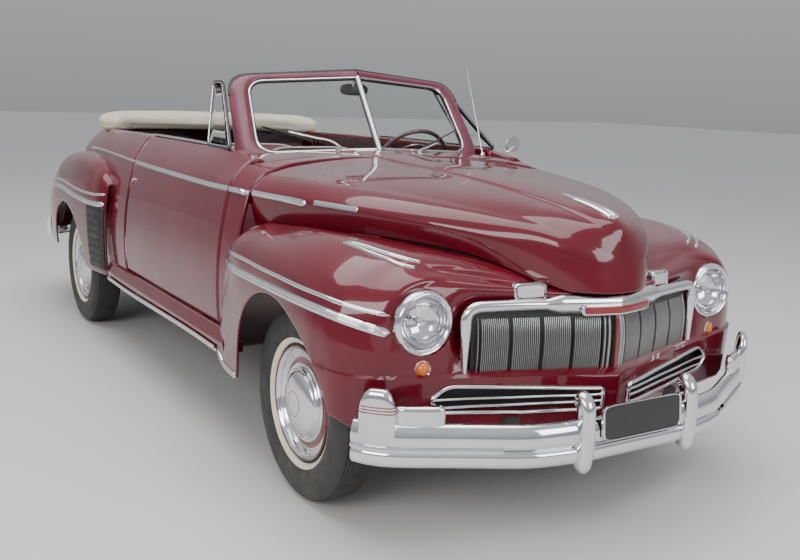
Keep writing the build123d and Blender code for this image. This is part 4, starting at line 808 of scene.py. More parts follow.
# Fewer rows along the side and columns over the top, where the form is slow
fender_cut = np.concatenate([fender_cut[:120:3], fender_cut[120:165:2], fender_cut[165:]])
fender_cut = np.concatenate([fender_cut[:, :26:2], fender_cut[:, 26:]], 1)
for name, side in SIDES:
    fender = piece(f"front_fender_panel_{name}", sided(fender_cut, side), PAINT,
                   wall=0.010, centre=(0.0, 0.5))
    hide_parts(f"front_fender_{name}")

# Rear fender, as in the part's table
# Columns: x, in_y, in_z, crown_y, crown_z, shoulder_y, shoulder_z, side_y, side_z, low_y, low_z
REAR_FENDER = np.array((
    (-600, 815, 905, 832, 905, 850, 880, 872, 700, 866, 412),
    (-640, 800, 945, 845, 950, 876, 910, 892, 720, 876, 411),
    (-760, 780, 1000, 842, 1006, 890, 950, 912, 760, 893, 410),
    (-1000, 760, 1046, 836, 1050, 898, 990, 926, 780, 905, 410),
    (-1314, 740, 1040, 822, 1048, 892, 980, 928, 780, 908, 420),
    (-1700, 680, 960, 785, 980, 868, 920, 910, 740, 892, 430),
    (-2050, 560, 820, 710, 850, 800, 800, 850, 660, 835, 430),
    (-2290, 430, 640, 610, 690, 690, 655, 740, 560, 730, 440),
    (-2380, 380, 540, 560, 580, 620, 560, 660, 510, 655, 450),
    (-2400, 360, 500, 470, 530, 520, 515, 545, 490, 540, 462),
), float)


def rear_fender_grid(stations=260):
    """Rear fender: inner edge, crown, shoulder, side and low edge, bowed between and rounded at the corners."""
    reach = chord(REAR_FENDER[:, :3])
    row = through(reach, REAR_FENDER, np.linspace(0, reach[-1], stations))
    corners = row[:, 1:].reshape(stations, 5, 2)
    line = section(corners, (3.0, 14.0, 8.0, 6.0), (16, 20, 24, 36), rounds=40)
    x = np.broadcast_to(row[:, None, :1], line[..., :1].shape)
    return np.concatenate([x, line], -1) * MM


REAR_FENDER_GRID = rear_fender_grid()
rear_fender_cut = arch_cut(REAR_FENDER_GRID, REAR_ARCH_X, REAR_ARCH_RADIUS, 64)[::2]
for name, side in SIDES:
    fender = piece(f"rear_fender_panel_{name}", sided(rear_fender_cut, side), PAINT,
                   wall=0.010, centre=(0.0, 0.5))
    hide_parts(f"rear_fender_{name}")

# Trim strips: points in millimetres on the left side
fender_net, hood_net = net(FENDER_GRID), net(hood_half)
side_net, rear_fender_net = net(SIDE_GRID, side_part), net(REAR_FENDER_GRID)
THIN, BELT = half_round(15.0, 6.0), ribbed(24.0, 8.0, 2)
WIDE = ribbed(31.0, 9.0, 3)
strip("fender_upper_strip", (
    (1140, 857, 829), (1352, 892, 835), (1568, 906, 833), (1753, 914, 833), (1903, 913, 829), (2014, 897, 823),
    (2099, 872, 813), (2152, 831, 801), (2188, 781, 790), (2200, 757, 785),
), fender_net, THIN, CHROME)
strip("fender_lower_strip", (
    (1134, 858, 780), (1264, 889, 782), (1480, 906, 784), (1681, 918, 787), (1853, 924, 788), (1983, 916, 784),
    (2080, 896, 776), (2141, 859, 762), (2181, 811, 746), (2208, 757, 732),
), fender_net, WIDE, CHROME, ends=(0.4, 0.6))
strip("fender_spear_outer", (
    (1885, 755, 963), (1977, 737, 954), (2066, 714, 941), (2126, 678, 924), (2156, 638, 910),
), fender_net, half_round(13.0, 9.0), CHROME, ends=(3.0, 0.6))
strip("fender_spear_inner", (
    (1890, 744, 963), (1985, 712, 956), (2062, 684, 946), (2112, 645, 932), (2136, 606, 919),
), fender_net, half_round(13.0, 9.0), CHROME, ends=(3.0, 0.6))
strip("quarter_strip", (
    (-1320, 752, 1070), (-1086, 765, 1073), (-790, 776, 1070), (-499, 786, 1064), (-308, 790, 1060),
), side_net, half_round(17.0, 6.0), CHROME, ends=(2.0, 0.0))
strip("door_strip", (
    (-298, 790, 1060), (-36, 795, 1056), (277, 798, 1053), (553, 800, 1051), (799, 800, 1050),
    (1006, 798, 1052),
), side_net, BELT, CHROME, "door_{}", ends=(0.3, 0.0))
strip("cowl_strip", (
    (1016, 798, 1052), (1090, 796, 1053), (1160, 791, 1054),
), side_net, BELT, CHROME, ends=(0.0, 0.2))
strip("bonnet_strip", (
    (1180, 770, 1054), (1258, 752, 1052), (1344, 729, 1050), (1424, 705, 1046), (1480, 688, 1042),
), hood_net, BELT, CHROME, "hood", ends=(0.2, 1.1))
strip("bonnet_badge", (
    (1516, 672, 1048), (1580, 650, 1047), (1650, 624, 1045), (1714, 599, 1044),
), hood_net, half_round(23.0, 5.0, 5), CHROME, "hood", ends=(0.1, 0.1))
strip("rear_upper_strip", (
    (-1620, 886, 856), (-1314, 919, 865), (-1047, 924, 853), (-845, 917, 850), (-667, 896, 854),
    (-612, 864, 858),
), rear_fender_net, THIN, CHROME)
strip("rear_lower_strip", (
    (-1640, 900, 822), (-1357, 922, 828), (-1159, 927, 817), (-938, 923, 806), (-730, 909, 800),
    (-612, 874, 803),
), rear_fender_net, WIDE, CHROME)
sill_line = np.array(((-600, 868, 402), (-183, 868, 396), (308, 868, 402), (722, 868, 406), (1030, 867, 402)),
                     float)
sill_path = smooth_line(sill_line, 60) * MM
sill_ups = np.tile((0.0, 0.93, -0.37), (60, 1))
both("sill_strip", carried(sill_path, ribbed(26.0, 9.0, 2), sill_ups,
                           scale=end_shares(sill_path, 0.026, (0.5, 0.0))),
     CHROME, wrap=TUBE)
strip("fender_foot_strip", (
    (1036, 856, 394), (1062, 859, 372), (1112, 863, 357), (1185, 868, 350), (1262, 872, 348),
), fender_net, ribbed(24.0, 8.0, 2), CHROME, ends=(0.2, 0.4))
both("door_lock", placed(dish(oval(20, 20, 24, 2.0),
                              ((1.0, -8), (1.0, 5), (0.8, 9), (0.5, 11), (0.0, 11.5))) * MM,
                         (-0.240, 0.8155, 0.972), (1, 0, 0), (0, 0, 1)), CHROME, "door_{}", wrap=TUBE)

# Ribbed rubber shield ahead of the rear wheels: points found on the fender, with a rib every 43 mm
shield_rows = []
for z in np.linspace(0.440, 0.786, 98):
    row = []
    for x in np.linspace(-0.800, -0.604, 14):
        spot, normal, _, _ = rear_fender_net.ray_cast(Vector((x, 2.0, z)), Vector((0, -1, 0)))
        if spot is None:
            spot = Vector((x, 0.868, z))
        row.append((spot.x, spot.y + 0.005 + 0.004 * abs(np.sin(np.pi * (z - 0.440) / 0.043)) ** 0.5, spot.z))
    shield_rows.append(row)
both("gravel_shield", np.array(shield_rows), TRIM_RUBBER, wall=0.006, centre=(0.0, 0.6))

# Road wheels
TYRE_HALF = np.array((
    (0.217, 0.055), (0.226, 0.066), (0.245, 0.077), (0.268, 0.083), (0.290, 0.084), (0.312, 0.081),
    (0.330, 0.075),
    (0.340, 0.068), (0.346, 0.0625),
))


def tyre_line():
    """Tyre's section: smooth flank, then a tread with a round groove every 13 mm across."""
    flank = smooth_line(TYRE_HALF, 16)
    across_tread = np.linspace(0.058, -0.058, 73)
    crown = 0.355 - 0.006 * (across_tread / 0.059) ** 2
    groove = np.clip(np.cos(2 * np.pi * across_tread / 0.0129) - 0.72, 0, 1) / 0.28
    tread = np.stack([crown - 0.0045 * groove, across_tread], -1)
    back = flank[::-1] * np.array([1.0, -1.0])
    bead = np.array(((0.204, -0.056), (0.203, 0.0), (0.204, 0.056)))
    return np.concatenate([flank, tread, back, bead])


RING = ((0.2165, 0.0580), (0.2175, 0.0605), (0.2265, 0.0672), (0.2350, 0.0728), (0.2362, 0.0722),
        (0.2300, 0.0640))
RIM_LINE = (
    (0.196, 0.010), (0.199, 0.050), (0.205, 0.060), (0.2085, 0.0625), (0.2085, 0.066), (0.205, 0.0675),
    (0.2015, 0.066),
    (0.1995, 0.062), (0.196, 0.052), (0.166, 0.040), (0.150, 0.041), (0.138, 0.044), (0.110, 0.050),
    (0.060, 0.052),
    (0.0, 0.052),
)
TRIM_LINE = (
    (0.163, 0.036), (0.1645, 0.0415), (0.168, 0.0425), (0.172, 0.0405), (0.175, 0.0445), (0.1785, 0.0425),
    (0.182, 0.0475), (0.186, 0.0455), (0.190, 0.0535), (0.1955, 0.0600), (0.199, 0.0640), (0.2005, 0.0630),
    (0.197, 0.0520), (0.190, 0.0410), (0.176, 0.0350),
)
CAP_LINE = (
    (0.143, 0.040), (0.1435, 0.048), (0.141, 0.0515), (0.137, 0.0520), (0.1345, 0.0505), (0.1325, 0.0555),
    (0.129, 0.0580), (0.1265, 0.0565), (0.1245, 0.0615), (0.121, 0.0640), (0.1185, 0.0625), (0.1160, 0.0670),
    (0.110, 0.0715), (0.098, 0.0775), (0.082, 0.0825), (0.062, 0.0868), (0.040, 0.0893), (0.018, 0.0905),
    (0.0, 0.0908),
)
PIN_LINE = ((0.0425, 0.0882), (0.0435, 0.0898), (0.0455, 0.0897), (0.0465, 0.0880))
PINSTRIPE = ((0.1520, 0.0406), (0.1520, 0.0422), (0.1552, 0.0420), (0.1552, 0.0404))


WHEELS = (
    ("front_left", 1.683, 0.7365, LEFT), ("front_right", 1.683, 0.7365, RIGHT),
    ("rear_left", -1.314, 0.7620, LEFT), ("rear_right", -1.314, 0.7620, RIGHT),
)
for name, x, y, side in WHEELS:
    hub, out, body = (x, side * y, 0.355), (0.0, side, 0.0), f"wheel_{name}"
    tyre = piece(f"tyre_{name}", turned(tyre_line(), hub, out, 80), RUBBER, body, wrap=LOOP, sharp=50)
    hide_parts(f"tyre_{name}")
    piece(f"white_band_{name}", turned(RING, hub, out, 80), WHITE_BAND, body, wrap=LOOP)
    rim = piece(f"rim_{name}", turned(smooth_line(RIM_LINE, 32), hub, out, 64), WHEEL_RED, body,
                wall=0.003, wrap=SPUN, centre=(hub[0], hub[1] * 0.5, hub[2]))
    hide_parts(f"wheel_{name}")
    piece(f"trim_ring_{name}", turned(smooth_line(TRIM_LINE, 48), hub, out, 80), CHROME, body, wrap=LOOP)
    piece(f"hubcap_{name}", turned(smooth_line(CAP_LINE, 50), hub, out, 72), CHROME, body,
          wall=0.0012, wrap=SPUN, centre=(hub[0], hub[1] * 0.5, hub[2]))
    piece(f"cap_ring_{name}", turned(PIN_LINE, hub, out, 64), RED_ENAMEL, body, wrap=LOOP)
    piece(f"pinstripe_{name}", turned(PINSTRIPE, hub, out, 96), RED_ENAMEL, body, wrap=LOOP)

# Windscreen: each pane's frame is a bowed moulding between the pane's edge and an outer line
SCREEN_FOOT = np.array((832.0, 0.0, 1195.0))
SCREEN_OUT = np.array((-0.1657, 0.9853, -0.0423))
SCREEN_UP = np.array((-0.5730, 0.0, 0.8196))
SCREEN_OUT /= np.linalg.norm(SCREEN_OUT)
SCREEN_AHEAD = np.cross(SCREEN_OUT, SCREEN_UP)
SCREEN_AHEAD *= np.sign(SCREEN_AHEAD[0]) / np.linalg.norm(SCREEN_AHEAD)


def on_screen(u, v, w):
    """Point of the left pane's plane: u outwards, v up the pane, w ahead of it; millimetres in, metres out."""
    u, v, w = (np.asarray(value, float)[..., None] for value in (u, v, w))
    return (SCREEN_FOOT + SCREEN_OUT * u + SCREEN_UP * v + SCREEN_AHEAD * w) * MM


def rounded_line(corners, radius, count):
    """Open line through corners with each inner corner rounded to its radius by a parabola, evenly spaced."""
    corners = [np.asarray(corner, float) for corner in corners]
    radii = radius if hasattr(radius, "__len__") else [radius] * (len(corners) - 2)
    line = [corners[0]]
    for before, at, after, size in zip(corners, corners[1:], corners[2:], radii):
        a = at + (before - at) / np.linalg.norm(before - at) * size
        b = at + (after - at) / np.linalg.norm(after - at) * size
        for t in np.linspace(0, 1, 12):
            line.append(a * (1 - t) ** 2 + at * 2 * t * (1 - t) + b * t ** 2)
    line.append(corners[-1])
    line = np.array(line)
    run = chord(line)
    at = np.linspace(0, run[-1], count)
    return np.stack([np.interp(at, run, line[:, k]) for k in range(line.shape[1])], -1)


SCREEN_STEPS = 96
inner_line = rounded_line(((0, -2), (572, -2), (536, 376), (0, 392)), (92, 84), SCREEN_STEPS)
outer_line = rounded_line(((0, -52), (668, -66), (612, 410), (0, 436)), (48, 92), SCREEN_STEPS)
share = np.linspace(0, 1, 15)[None, :]
low_edge = np.clip(1 - (inner_line[:, 1] + 2) / 120, 0, 1)[:, None]
u = inner_line[:, :1] * (1 - share) + outer_line[:, :1] * share
v = inner_line[:, 1:] * (1 - share) + outer_line[:, 1:] * share
w = 8 + 15 * np.sin(np.pi * np.clip(share * 0.92 + 0.04, 0, 1)) ** 0.8 - 14 * share ** 2 - 10 * low_edge * share
moulding = on_screen(u, v, w)
back = on_screen(u, v, np.full_like(w, -20.0))
closed_moulding = np.concatenate([moulding, back[:, ::-1], moulding[:, :1]], 1)
screen_grids = [sided(closed_moulding, side) for name, side in SIDES]
screen_frame = piece("windscreen_moulding", screen_grids, SATIN)
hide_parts("windscreen_frame")
pane_line = rounded_line(((6, 0), (566, 0), (531, 373), (6, 389)), (88, 80), 110)
loop = np.concatenate([pane_line, np.array(((6, 300), (6, 200), (6, 100)))])
bead_path = on_screen(loop[:, 0], loop[:, 1], np.full(len(loop), 9.0))
both("screen_bead", carried(bead_path, circle(0.0048, 10), SCREEN_AHEAD, closed=True), CHROME,
     wrap=LOOP)
seal_path = on_screen(loop[:, 0] * 0.985 + 5, loop[:, 1] * 0.972 + 6, np.full(len(loop), 5.0))
both("screen_seal", carried(seal_path, circle(0.0060, 8), SCREEN_AHEAD, closed=True), TRIM_RUBBER,
     wrap=LOOP)
post_path = np.array([(SCREEN_FOOT + SCREEN_UP * v + np.array((10.0, 0,
                                                               5.0))) * MM for v in np.linspace(-6, 396, 12)])
piece("centre_post", carried(post_path, oval(0.017, 0.012, 16), (1, 0, 0)), CHROME,
      wrap=TUBE)
header = rounded_line(((0, 437), (606, 411), (640, 200)), 86, 60)[:52]
header_path = on_screen(header[:, 0], header[:, 1], np.full(52, -3.0))
both("header_seal", carried(header_path, oval(0.016, 0.011, 12), SCREEN_AHEAD), TRIM_RUBBER,
     wrap=TUBE)

# Wipers: arm and blade over each pane
for name, side, arm_line, ends in (
    ("right", RIGHT, ((811, 201, 1184), (801, 197, 1206), (788, 212, 1219), (757, 305, 1241), (722, 406, 1263)),
     ((684, 515, 1286), (767, 305, 1226))),
    ("left", LEFT, ((822, 227, 1164), (813, 234, 1184), (795, 280, 1198), (761, 362, 1218)),
     ((689, 516, 1278), (804, 237, 1192))),
):
    flip = np.array((1.0, side, 1.0)) * MM
    ahead = SCREEN_AHEAD * np.array((1.0, side, 1.0))
    arm = smooth_line(np.array(arm_line, float) * flip, 30) + ahead * 0.010
    middle = (np.array(ends[0], float) + np.array(ends[1], float)) / 2
    blade = smooth_line(np.stack([np.array(ends[0], float), middle, np.array(ends[1], float)]) * flip,
                        24) + ahead * 0.004
    base = turned(((0.0, 0.034), (0.008, 0.033), (0.011, 0.026), (0.013, 0.0), (0.016, -0.012)),
                  arm[0] - 0.010 * ahead, (0.35, 0, 0.94), 24)
    piece(f"wiper_arm_{name}", carried(arm, oval(0.009, 0.005, 10), ahead), CHROME, wrap=TUBE)
    piece(f"wiper_base_{name}", base, CHROME, wrap=SPUN)
    blade_piece = piece(f"wiper_blade_{name}", carried(blade, oval(0.006, 0.011, 10), ahead), TRIM_RUBBER,
                        wrap=TUBE)
    if side > 0:
        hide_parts("wipers")


# Front end
GRILLE_X, GRILLE_SWEEP = 2408.0, np.radians(16.3)
RUN_WAY = np.array((-np.sin(GRILLE_SWEEP), np.cos(GRILLE_SWEEP), 0.0))
GRILLE_AHEAD = np.array((np.cos(GRILLE_SWEEP), np.sin(GRILLE_SWEEP), 0.0))


def on_grille(run, z, ahead):
    """Point of the left grille plane: run outwards from the middle, height z, ahead of the plane; in metres."""
    run, z, ahead = (np.asarray(value, float)[..., None] for value in (run, z, ahead))
    return (np.array((GRILLE_X, 0, 0)) + RUN_WAY * run + GRILLE_AHEAD * ahead + np.array((0, 0, 1.0)) * z) * MM


bar_line = rounded_line(((529, 576), (531, 800), (330, 804), (150, 802), (0, 800)), (52, 60, 60), 130)
bar_way = np.gradient(bar_line, axis=0)
bar_way /= np.linalg.norm(bar_way, axis=1, keepdims=True)
bar_normal = np.stack([bar_way[:, 1], -bar_way[:, 0]], -1)
run = bar_line[:, 0]
rise = np.clip((bar_line[:, 1] - 576) / 150, 0, 1)
middle = np.clip((270 - run) / 70, 0, 1)
middle = middle * middle * (3 - 2 * middle)
half_width = 9.0 + 10.5 * rise + 13.0 * middle * (bar_line[:, 1] > 790)
angle = np.linspace(-0.12 * np.pi, 1.12 * np.pi, 22)[None, :]
u = bar_line[:, :1] + bar_normal[:, :1] * half_width[:, None] * np.cos(angle)
z = bar_line[:, 1:] + bar_normal[:, 1:] * half_width[:, None] * np.cos(angle)
ahead = 2 + (14 + 6 * rise + 3 * middle)[:, None] * np.sin(angle)
u = np.where(run[:, None] < 1, 0.0, u)
surround_grid = on_grille(u, z, ahead)
surround_grid[..., 1] = np.maximum(surround_grid[..., 1], 0.0)
surround_grid[-1, :, 1] = 0.0
surround = piece("grille_bar", [sided(surround_grid, side) for name, side in SIDES], CHROME)
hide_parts("grille_surround")


def name_line(reach, ahead, z):
    """Line across the middle of the grille bar, rounded over its ridge."""
    y = np.linspace(-reach, reach, 70)
    x = GRILLE_X + ahead - (np.sqrt((0.30 * y) ** 2 + 12.0 ** 2) - 12.0)
    return np.stack([x, y, np.full(70, float(z))], -1) * MM


for name, reach, ahead, wide, look in (
    ("name_bar_rim", 152, 24, 0.036, CHROME), ("name_bar", 145, 26.5, 0.025, RED_ENAMEL),
):
    line = name_line(reach, ahead, 786)
    shares = end_shares(line, wide, (0.5, 0.5))
    piece(name, carried(line, oval(0.010, wide, 20, 3.4), scale=shares), look, wrap=TUBE)

# Grille fins: each a thin upright blade, leaning back at its top, in four groups a side
GROUPS = ((58, 152), (166, 260), (275, 368), (383, 476))
FIN_COUNT = 14
height = np.linspace(0, 1, 14)
fin_z = 584 + 182 * height
fin_lean = -16 * height ** 5 + 5 * np.sin(np.pi * height)
fin_grids = []
for start_run, end_run in GROUPS:
    for at in np.linspace(start_run + 3, end_run - 3, FIN_COUNT):
        blade = np.array(((-1.5, -9.0), (-1.5, 1.5), (-0.9, 3.4), (0.9, 3.4), (1.5, 1.5), (1.5, -9.0)))
        fin_grids.append(on_grille(at + blade[None, :, 0] + 0 * fin_z[:, None],
                                   fin_z[:, None] + 0 * blade[None, :, 0],
                                   blade[None, :, 1] + fin_lean[:, None]))
for start_run, end_run in ((20, 31), (38, 47), (484, 490)):
    bead = np.stack([(start_run + end_run) / 2 + (end_run - start_run) / 2 * np.cos(np.linspace(0, np.pi, 9)),
                     -6 + 12 * np.sin(np.linspace(0, np.pi, 9))], -1)
    fin_grids.append(on_grille(bead[None, :, 0] + 0 * fin_z[:, None], fin_z[:, None] + 0 * bead[None, :, 0],
                               bead[None, :, 1] + fin_lean[:, None]))
fins = piece("grille_fins", [sided(grid, side) for grid in fin_grids for name, side in SIDES], DULL_CHROME)
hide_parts("grille")
both("grille_back", on_grille(*np.meshgrid((-1.0, 505.0), (578.0, 784.0)), np.full((2, 2), -9.0)), BLACK)
ridge = np.stack([GRILLE_X + 6 - 14 * height ** 5, 0 * height, fin_z], -1) * MM
piece("grille_ridge", carried(ridge, oval(0.012, 0.009, 14), (1, 0, 0)), RED_ENAMEL, wrap=TUBE)

# Lower grilles, laid on the apron
front_net = net(FENDER_GRID)


def on_apron(y, z, ahead=0.0):
    """Point of the apron seen from ahead at y and z millimetres, and its outward direction."""
    spot, normal, _, _ = front_net.ray_cast(Vector((3.0, y * MM, z * MM)), Vector((-1, 0, 0)))
    normal = normal if normal.x > 0 else -normal
    return np.array(spot + normal * ahead * MM), np.array(normal)


def apron_line(points, ahead, count, steps):
    """Line through corners (y, z) with rounded corners, on the apron, and the outward directions along it."""
    line = rounded_line(points, steps, count)
    found = [on_apron(y, z, ahead) for y, z in line]
    ups = np.array([normal for spot, normal in found])
    for _ in range(4):
        ups[1:-1] = (ups[:-2] + 2 * ups[1:-1] + ups[2:]) / 4
    return np.array([spot for spot, normal in found]), ups


path, ups = apron_line(((340, 455), (58, 455), (58, 524), (578, 553), (630, 511), (588, 467), (340, 456)), 1.0,
                       150,
                       (10, 14, 30, 16, 20))
both("lower_grille_rim", carried(path, half_round(13.0, 9.0), ups), CHROME, wrap=TUBE)
for name, line in (("upper", ((62, 503), (628, 511))), ("lower", ((62, 481), (604, 483)))):
    path, ups = apron_line((line[0], ((line[0][0] + line[1][0]) / 2, (line[0][1] + line[1][1]) / 2), line[1]),
                           -2.0, 60, (10,))
    both(f"lower_grille_bar_{name}", carried(path, half_round(11.0, 9.0), ups), CHROME,
         wrap=TUBE)
# Black sheet 30 mm behind the apron in each lower mouth: painted shade standing in for the dark inside of the
# openings
lower_grille_shades = both("lower_grille_shade", np.stack([
    np.stack([on_apron(y, low + (top - low) * t, 0.0)[0] - np.array((0.030, 0, 0)) for t in np.linspace(0, 1,
                                                                                                        8)])
    for y, low, top in zip(np.linspace(64, 622, 40),
                           np.interp(np.linspace(64, 622, 40), (64, 588, 630), (457, 470, 508)),
                           np.interp(np.linspace(64, 622, 40), (64, 578, 630), (523, 551, 515)))
]), BLACK)
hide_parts("lower_grille")
crease = piece("apron_crease", carried(np.array([on_apron(0, z, 0.5)[0] for z in np.linspace(452, 560, 12)]),
                                          half_round(7.0, 5.0), (1, 0, 0)), PAINT, wrap=TUBE)
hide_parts("front_apron")

# Headlamps: bezel, bowl, lens and bulb shield about an axis pointing ahead
LAMP = np.array(LAMP_SPOT) * MM
BEZEL = smooth_line(((0.0830, 0.004), (0.0845, 0.014), (0.0890, 0.021), (0.0945, 0.024), (0.1000, 0.021),
                     (0.1040, 0.013),
                     (0.1060, 0.002), (0.1062, -0.014), (0.1040, -0.036)), 30)
BOWL = smooth_line(((0.0850, 0.004), (0.0840, -0.006), (0.0740, -0.026), (0.0540, -0.046), (0.0300, -0.057),
                    (0.0, -0.060)), 22)
DOME = smooth_line(((0.0845, 0.006), (0.0800, 0.011), (0.0640, 0.019), (0.0400, 0.0255), (0.0180, 0.0280),
                    (0.0, 0.0285)), 20)
ahead_way = (1.0, 0.0, 0.0)
rims = both("headlamp_rim", turned(BEZEL, LAMP, ahead_way, 72), CHROME, wall=0.0015,
            wrap=SPUN, centre=(1.0, 0.756))
both("headlamp_bowl", turned(BOWL, LAMP, ahead_way, 72), CHROME, wrap=SPUN)
both("headlamp_lens_dome", turned(DOME, LAMP, ahead_way, 64), LENS, wall=0.003,
     wrap=SPUN, centre=(1.0, 0.756))
both("bulb_shield", turned(((0.0, 0.004), (0.010, 0.002), (0.014, -0.008), (0.012, -0.030), (0.011, -0.057)),
                           LAMP, ahead_way, 28),
     CHROME, wrap=SPUN)
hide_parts("headlamps")
seals = both("headlamp_flutes",
             turned(((0.0835, 0.0055), (0.0845, 0.0075), (0.0855, 0.0055)), LAMP, ahead_way, 72),
                              TRIM_RUBBER, wrap=SPUN)
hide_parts("headlamp_lenses")
AMBER_SPOT = np.array((2.2300, 0.649, 0.611))
amber_way = (0.97, 0.22, 0.0)
both("amber_rim", turned(((0.0215, 0.006), (0.0225, 0.012), (0.0255, 0.014), (0.0285, 0.010), (0.0290, -0.012)),
                         AMBER_SPOT, amber_way, 40), CHROME, wrap=SPUN)
ambers = both("amber_dome",
              turned(((0.0225, 0.006), (0.0215, 0.014), (0.0165, 0.022), (0.0085, 0.0265), (0.0, 0.0280)),
                                   AMBER_SPOT, amber_way, 36), AMBER, wrap=SPUN)
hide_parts("side_lamps")
PARK = dish(oval(118, 60, 60, 5.0),
            ((0.80, -90), (1.0, -46), (1.03, -12), (1.0, 0), (0.97, 5), (0.90, 8), (0.83, 8),
                                           (0.78, 4), (0.77, 0), (0.0, 0)))
both("parking_lamp", placed(PARK * MM, (2.306, 0.292, 0.842), (-0.29, 0.956, -0.03), (-0.10, 0, 0.995)), CHROME,
     wrap=TUBE)
both("parking_lens", placed(dish(oval(92, 38, 60, 6.0),
                                 ((1.0, 1), (1.0, 6), (0.94, 9), (0.5, 10.5), (0.0, 11))) * MM,
                            (2.306, 0.292, 0.842), (-0.29, 0.956, -0.03), (-0.10, 0, 0.995)), RIBBED_LENS,
     wrap=TUBE)

# Front bumper: an upper blade and a lower roll round one plan line
BUMPER_PLAN = ((2526, 0), (2526, 120), (2525, 205), (2510, 320), (2483, 420), (2450, 486), (2406, 568),
               (2354, 664),
               (2304, 757), (2268, 808), (2230, 842), (2192, 862))
BLADE = smooth_line(((-15, 463), (-12, 468), (-4, 470), (5, 467), (13, 459), (19, 446), (23, 430), (23, 413),
                     (19, 399),
                     (12, 391), (5, 388)), 32)
ROLL = smooth_line(((5, 388), (13, 385), (20, 376), (22, 360), (19, 345), (11, 334), (0, 329), (-10, 331)), 21)
BACK = np.array(((-16, 340), (-18, 400), (-18, 450)))
BUMPER_LOOP = np.concatenate([BLADE, ROLL[1:], BACK])


def bumper_grid(plan, loop, count=110, share=None):
    """Section (ahead, z) carried round a plan line of the left side; share draws the section's ends in."""
    line = smooth_line(np.asarray(plan, float), count)
    way = np.gradient(line, axis=0)
    way /= np.linalg.norm(way, axis=1, keepdims=True)
    out = np.stack([way[:, 1], -way[:, 0]], -1)
    if way[0, 1] > 0.99 or abs(line[0, 1]) < 1:
        out[0] = (np.sign(out[0, 0]), 0.0)
    grow = np.ones(count) if share is None else share
    ahead, z = loop[:, 0][None, :], loop[:, 1][None, :]
    mid = loop[:, 1].mean()
    z = mid + (z - mid) * grow[:, None]
    x = line[:, :1] + out[:, :1] * ahead
    y = line[:, 1:] + out[:, 1:] * ahead
    return np.stack([x, y, np.broadcast_to(z, x.shape)], -1) * MM


bar = bumper_grid(BUMPER_PLAN, BUMPER_LOOP)
bumper = piece("bumper_bar", [sided(bar, side) for name, side in SIDES], CHROME, wrap=TUBE)
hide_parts("front_bumper")
# Shelf over the bar's outer part, with a slanted inner end
bumper_line = smooth_line(np.asarray(BUMPER_PLAN, float), 600)


def proud_grid(start_y, end_y, low_z, top_z, depth, bulge, corner, steps=(48, 30)):
    """Pressing that stands out from the bar: over a rounded outline between two ys and two heights it rises from
    the bar's own face by bulge, with its face depth ahead of the plan line."""
    line = bumper_line[(bumper_line[:, 1] > start_y) & (bumper_line[:, 1] < end_y)]
    at = np.linspace(0, len(line) - 1, steps[0])
    line = np.stack([np.interp(at, np.arange(len(line)), line[:, k]) for k in range(2)], -1)
    way = np.gradient(line, axis=0)
    way /= np.linalg.norm(way, axis=1, keepdims=True)
    s, t = np.linspace(-1, 1, steps[0])[:, None], np.linspace(-1, 1, steps[1])[None, :]
    low = np.broadcast_to(low_z, s.shape)
    top = low + (np.broadcast_to(top_z, s.shape) - low) * np.clip(1 - np.abs(s) ** corner, 0, 1) ** (1 / corner)
    z = low + (top - low) * (t + 1) / 2
    rise = (np.clip(1 - s ** 6, 0, 1) * np.clip(1 - t ** 6, 0, 1)) ** 0.5
    ahead = depth + bulge * rise
    x = line[:, :1] + way[:, 1:] * ahead
    y = line[:, 1:] - way[:, :1] * ahead
    return np.stack([x, y, z + 0 * x], -1) * MM


both("bumper_shelf", proud_grid(640, 782, 455, 527, -10.0, 22.0, 9.0), CHROME, wall=0.003,
     centre=(1.0, 0.5))
guard = proud_grid(772, 853, 392, 582, 4.0, 26.0, 3.4, (60, 50))
both("bumper_guard", guard, CHROME, wall=0.003, centre=(1.0, 0.5))
guard_tree = net(guard)
for number, z in enumerate((506.0, 515.5, 525.0)):
    marks = [guard_tree.ray_cast(Vector((2.9, y, z * MM)), Vector((-1, 0, 0))) for y in np.linspace(0.770,
                                                                                                    0.872, 60)]
    marks = [(spot + normal * (0.0008 if normal.x > 0 else -0.0008)) for spot, normal, _,
             _ in marks if spot is not None]
    both(f"guard_line_{number}", carried(np.array(marks), half_round(4.2, 1.8, 6), (1, 0, 0)), RED_ENAMEL,
         wrap=TUBE)
# A thin pressed bead along the groove
both("bumper_bead", bumper_grid(BUMPER_PLAN[5:],
                                np.array(((14, 384), (24, 386), (26, 393), (22, 399), (14, 400), (10, 392.0))),
                                90),
     CHROME, wrap=TUBE)

# Overriders: tall rounded blades standing on the bar
over_z = np.linspace(0, 1, 40)
over_path = np.stack([
    2533 + 13 * np.sin(np.pi * np.clip(over_z * 1.05, 0, 1)) ** 0.6 - 34 * np.clip((over_z - 0.80) / 0.20, 0,
                                                                                   1) ** 2,
    np.full(40, 230.0), 300 + 258 * over_z,
], -1) * MM
over_share = end_shares(over_path, 0.052, (0.55, 0.7)) * (1.0 - 0.16 * np.abs(over_z - 0.45) ** 1.5)
over_loop = np.array(((-25, -26), (-27, 0), (-24, 12), (-14, 20), (0, 23), (14, 20), (24, 12), (27, 0),
                      (25, -26), (0, -30.0))) * MM
both("overrider", carried(over_path, smooth_line(np.concatenate([over_loop, over_loop[:1]]), 40)[:-1],
                          (1, 0, 0), scale=over_share),
     CHROME, wrap=TUBE)

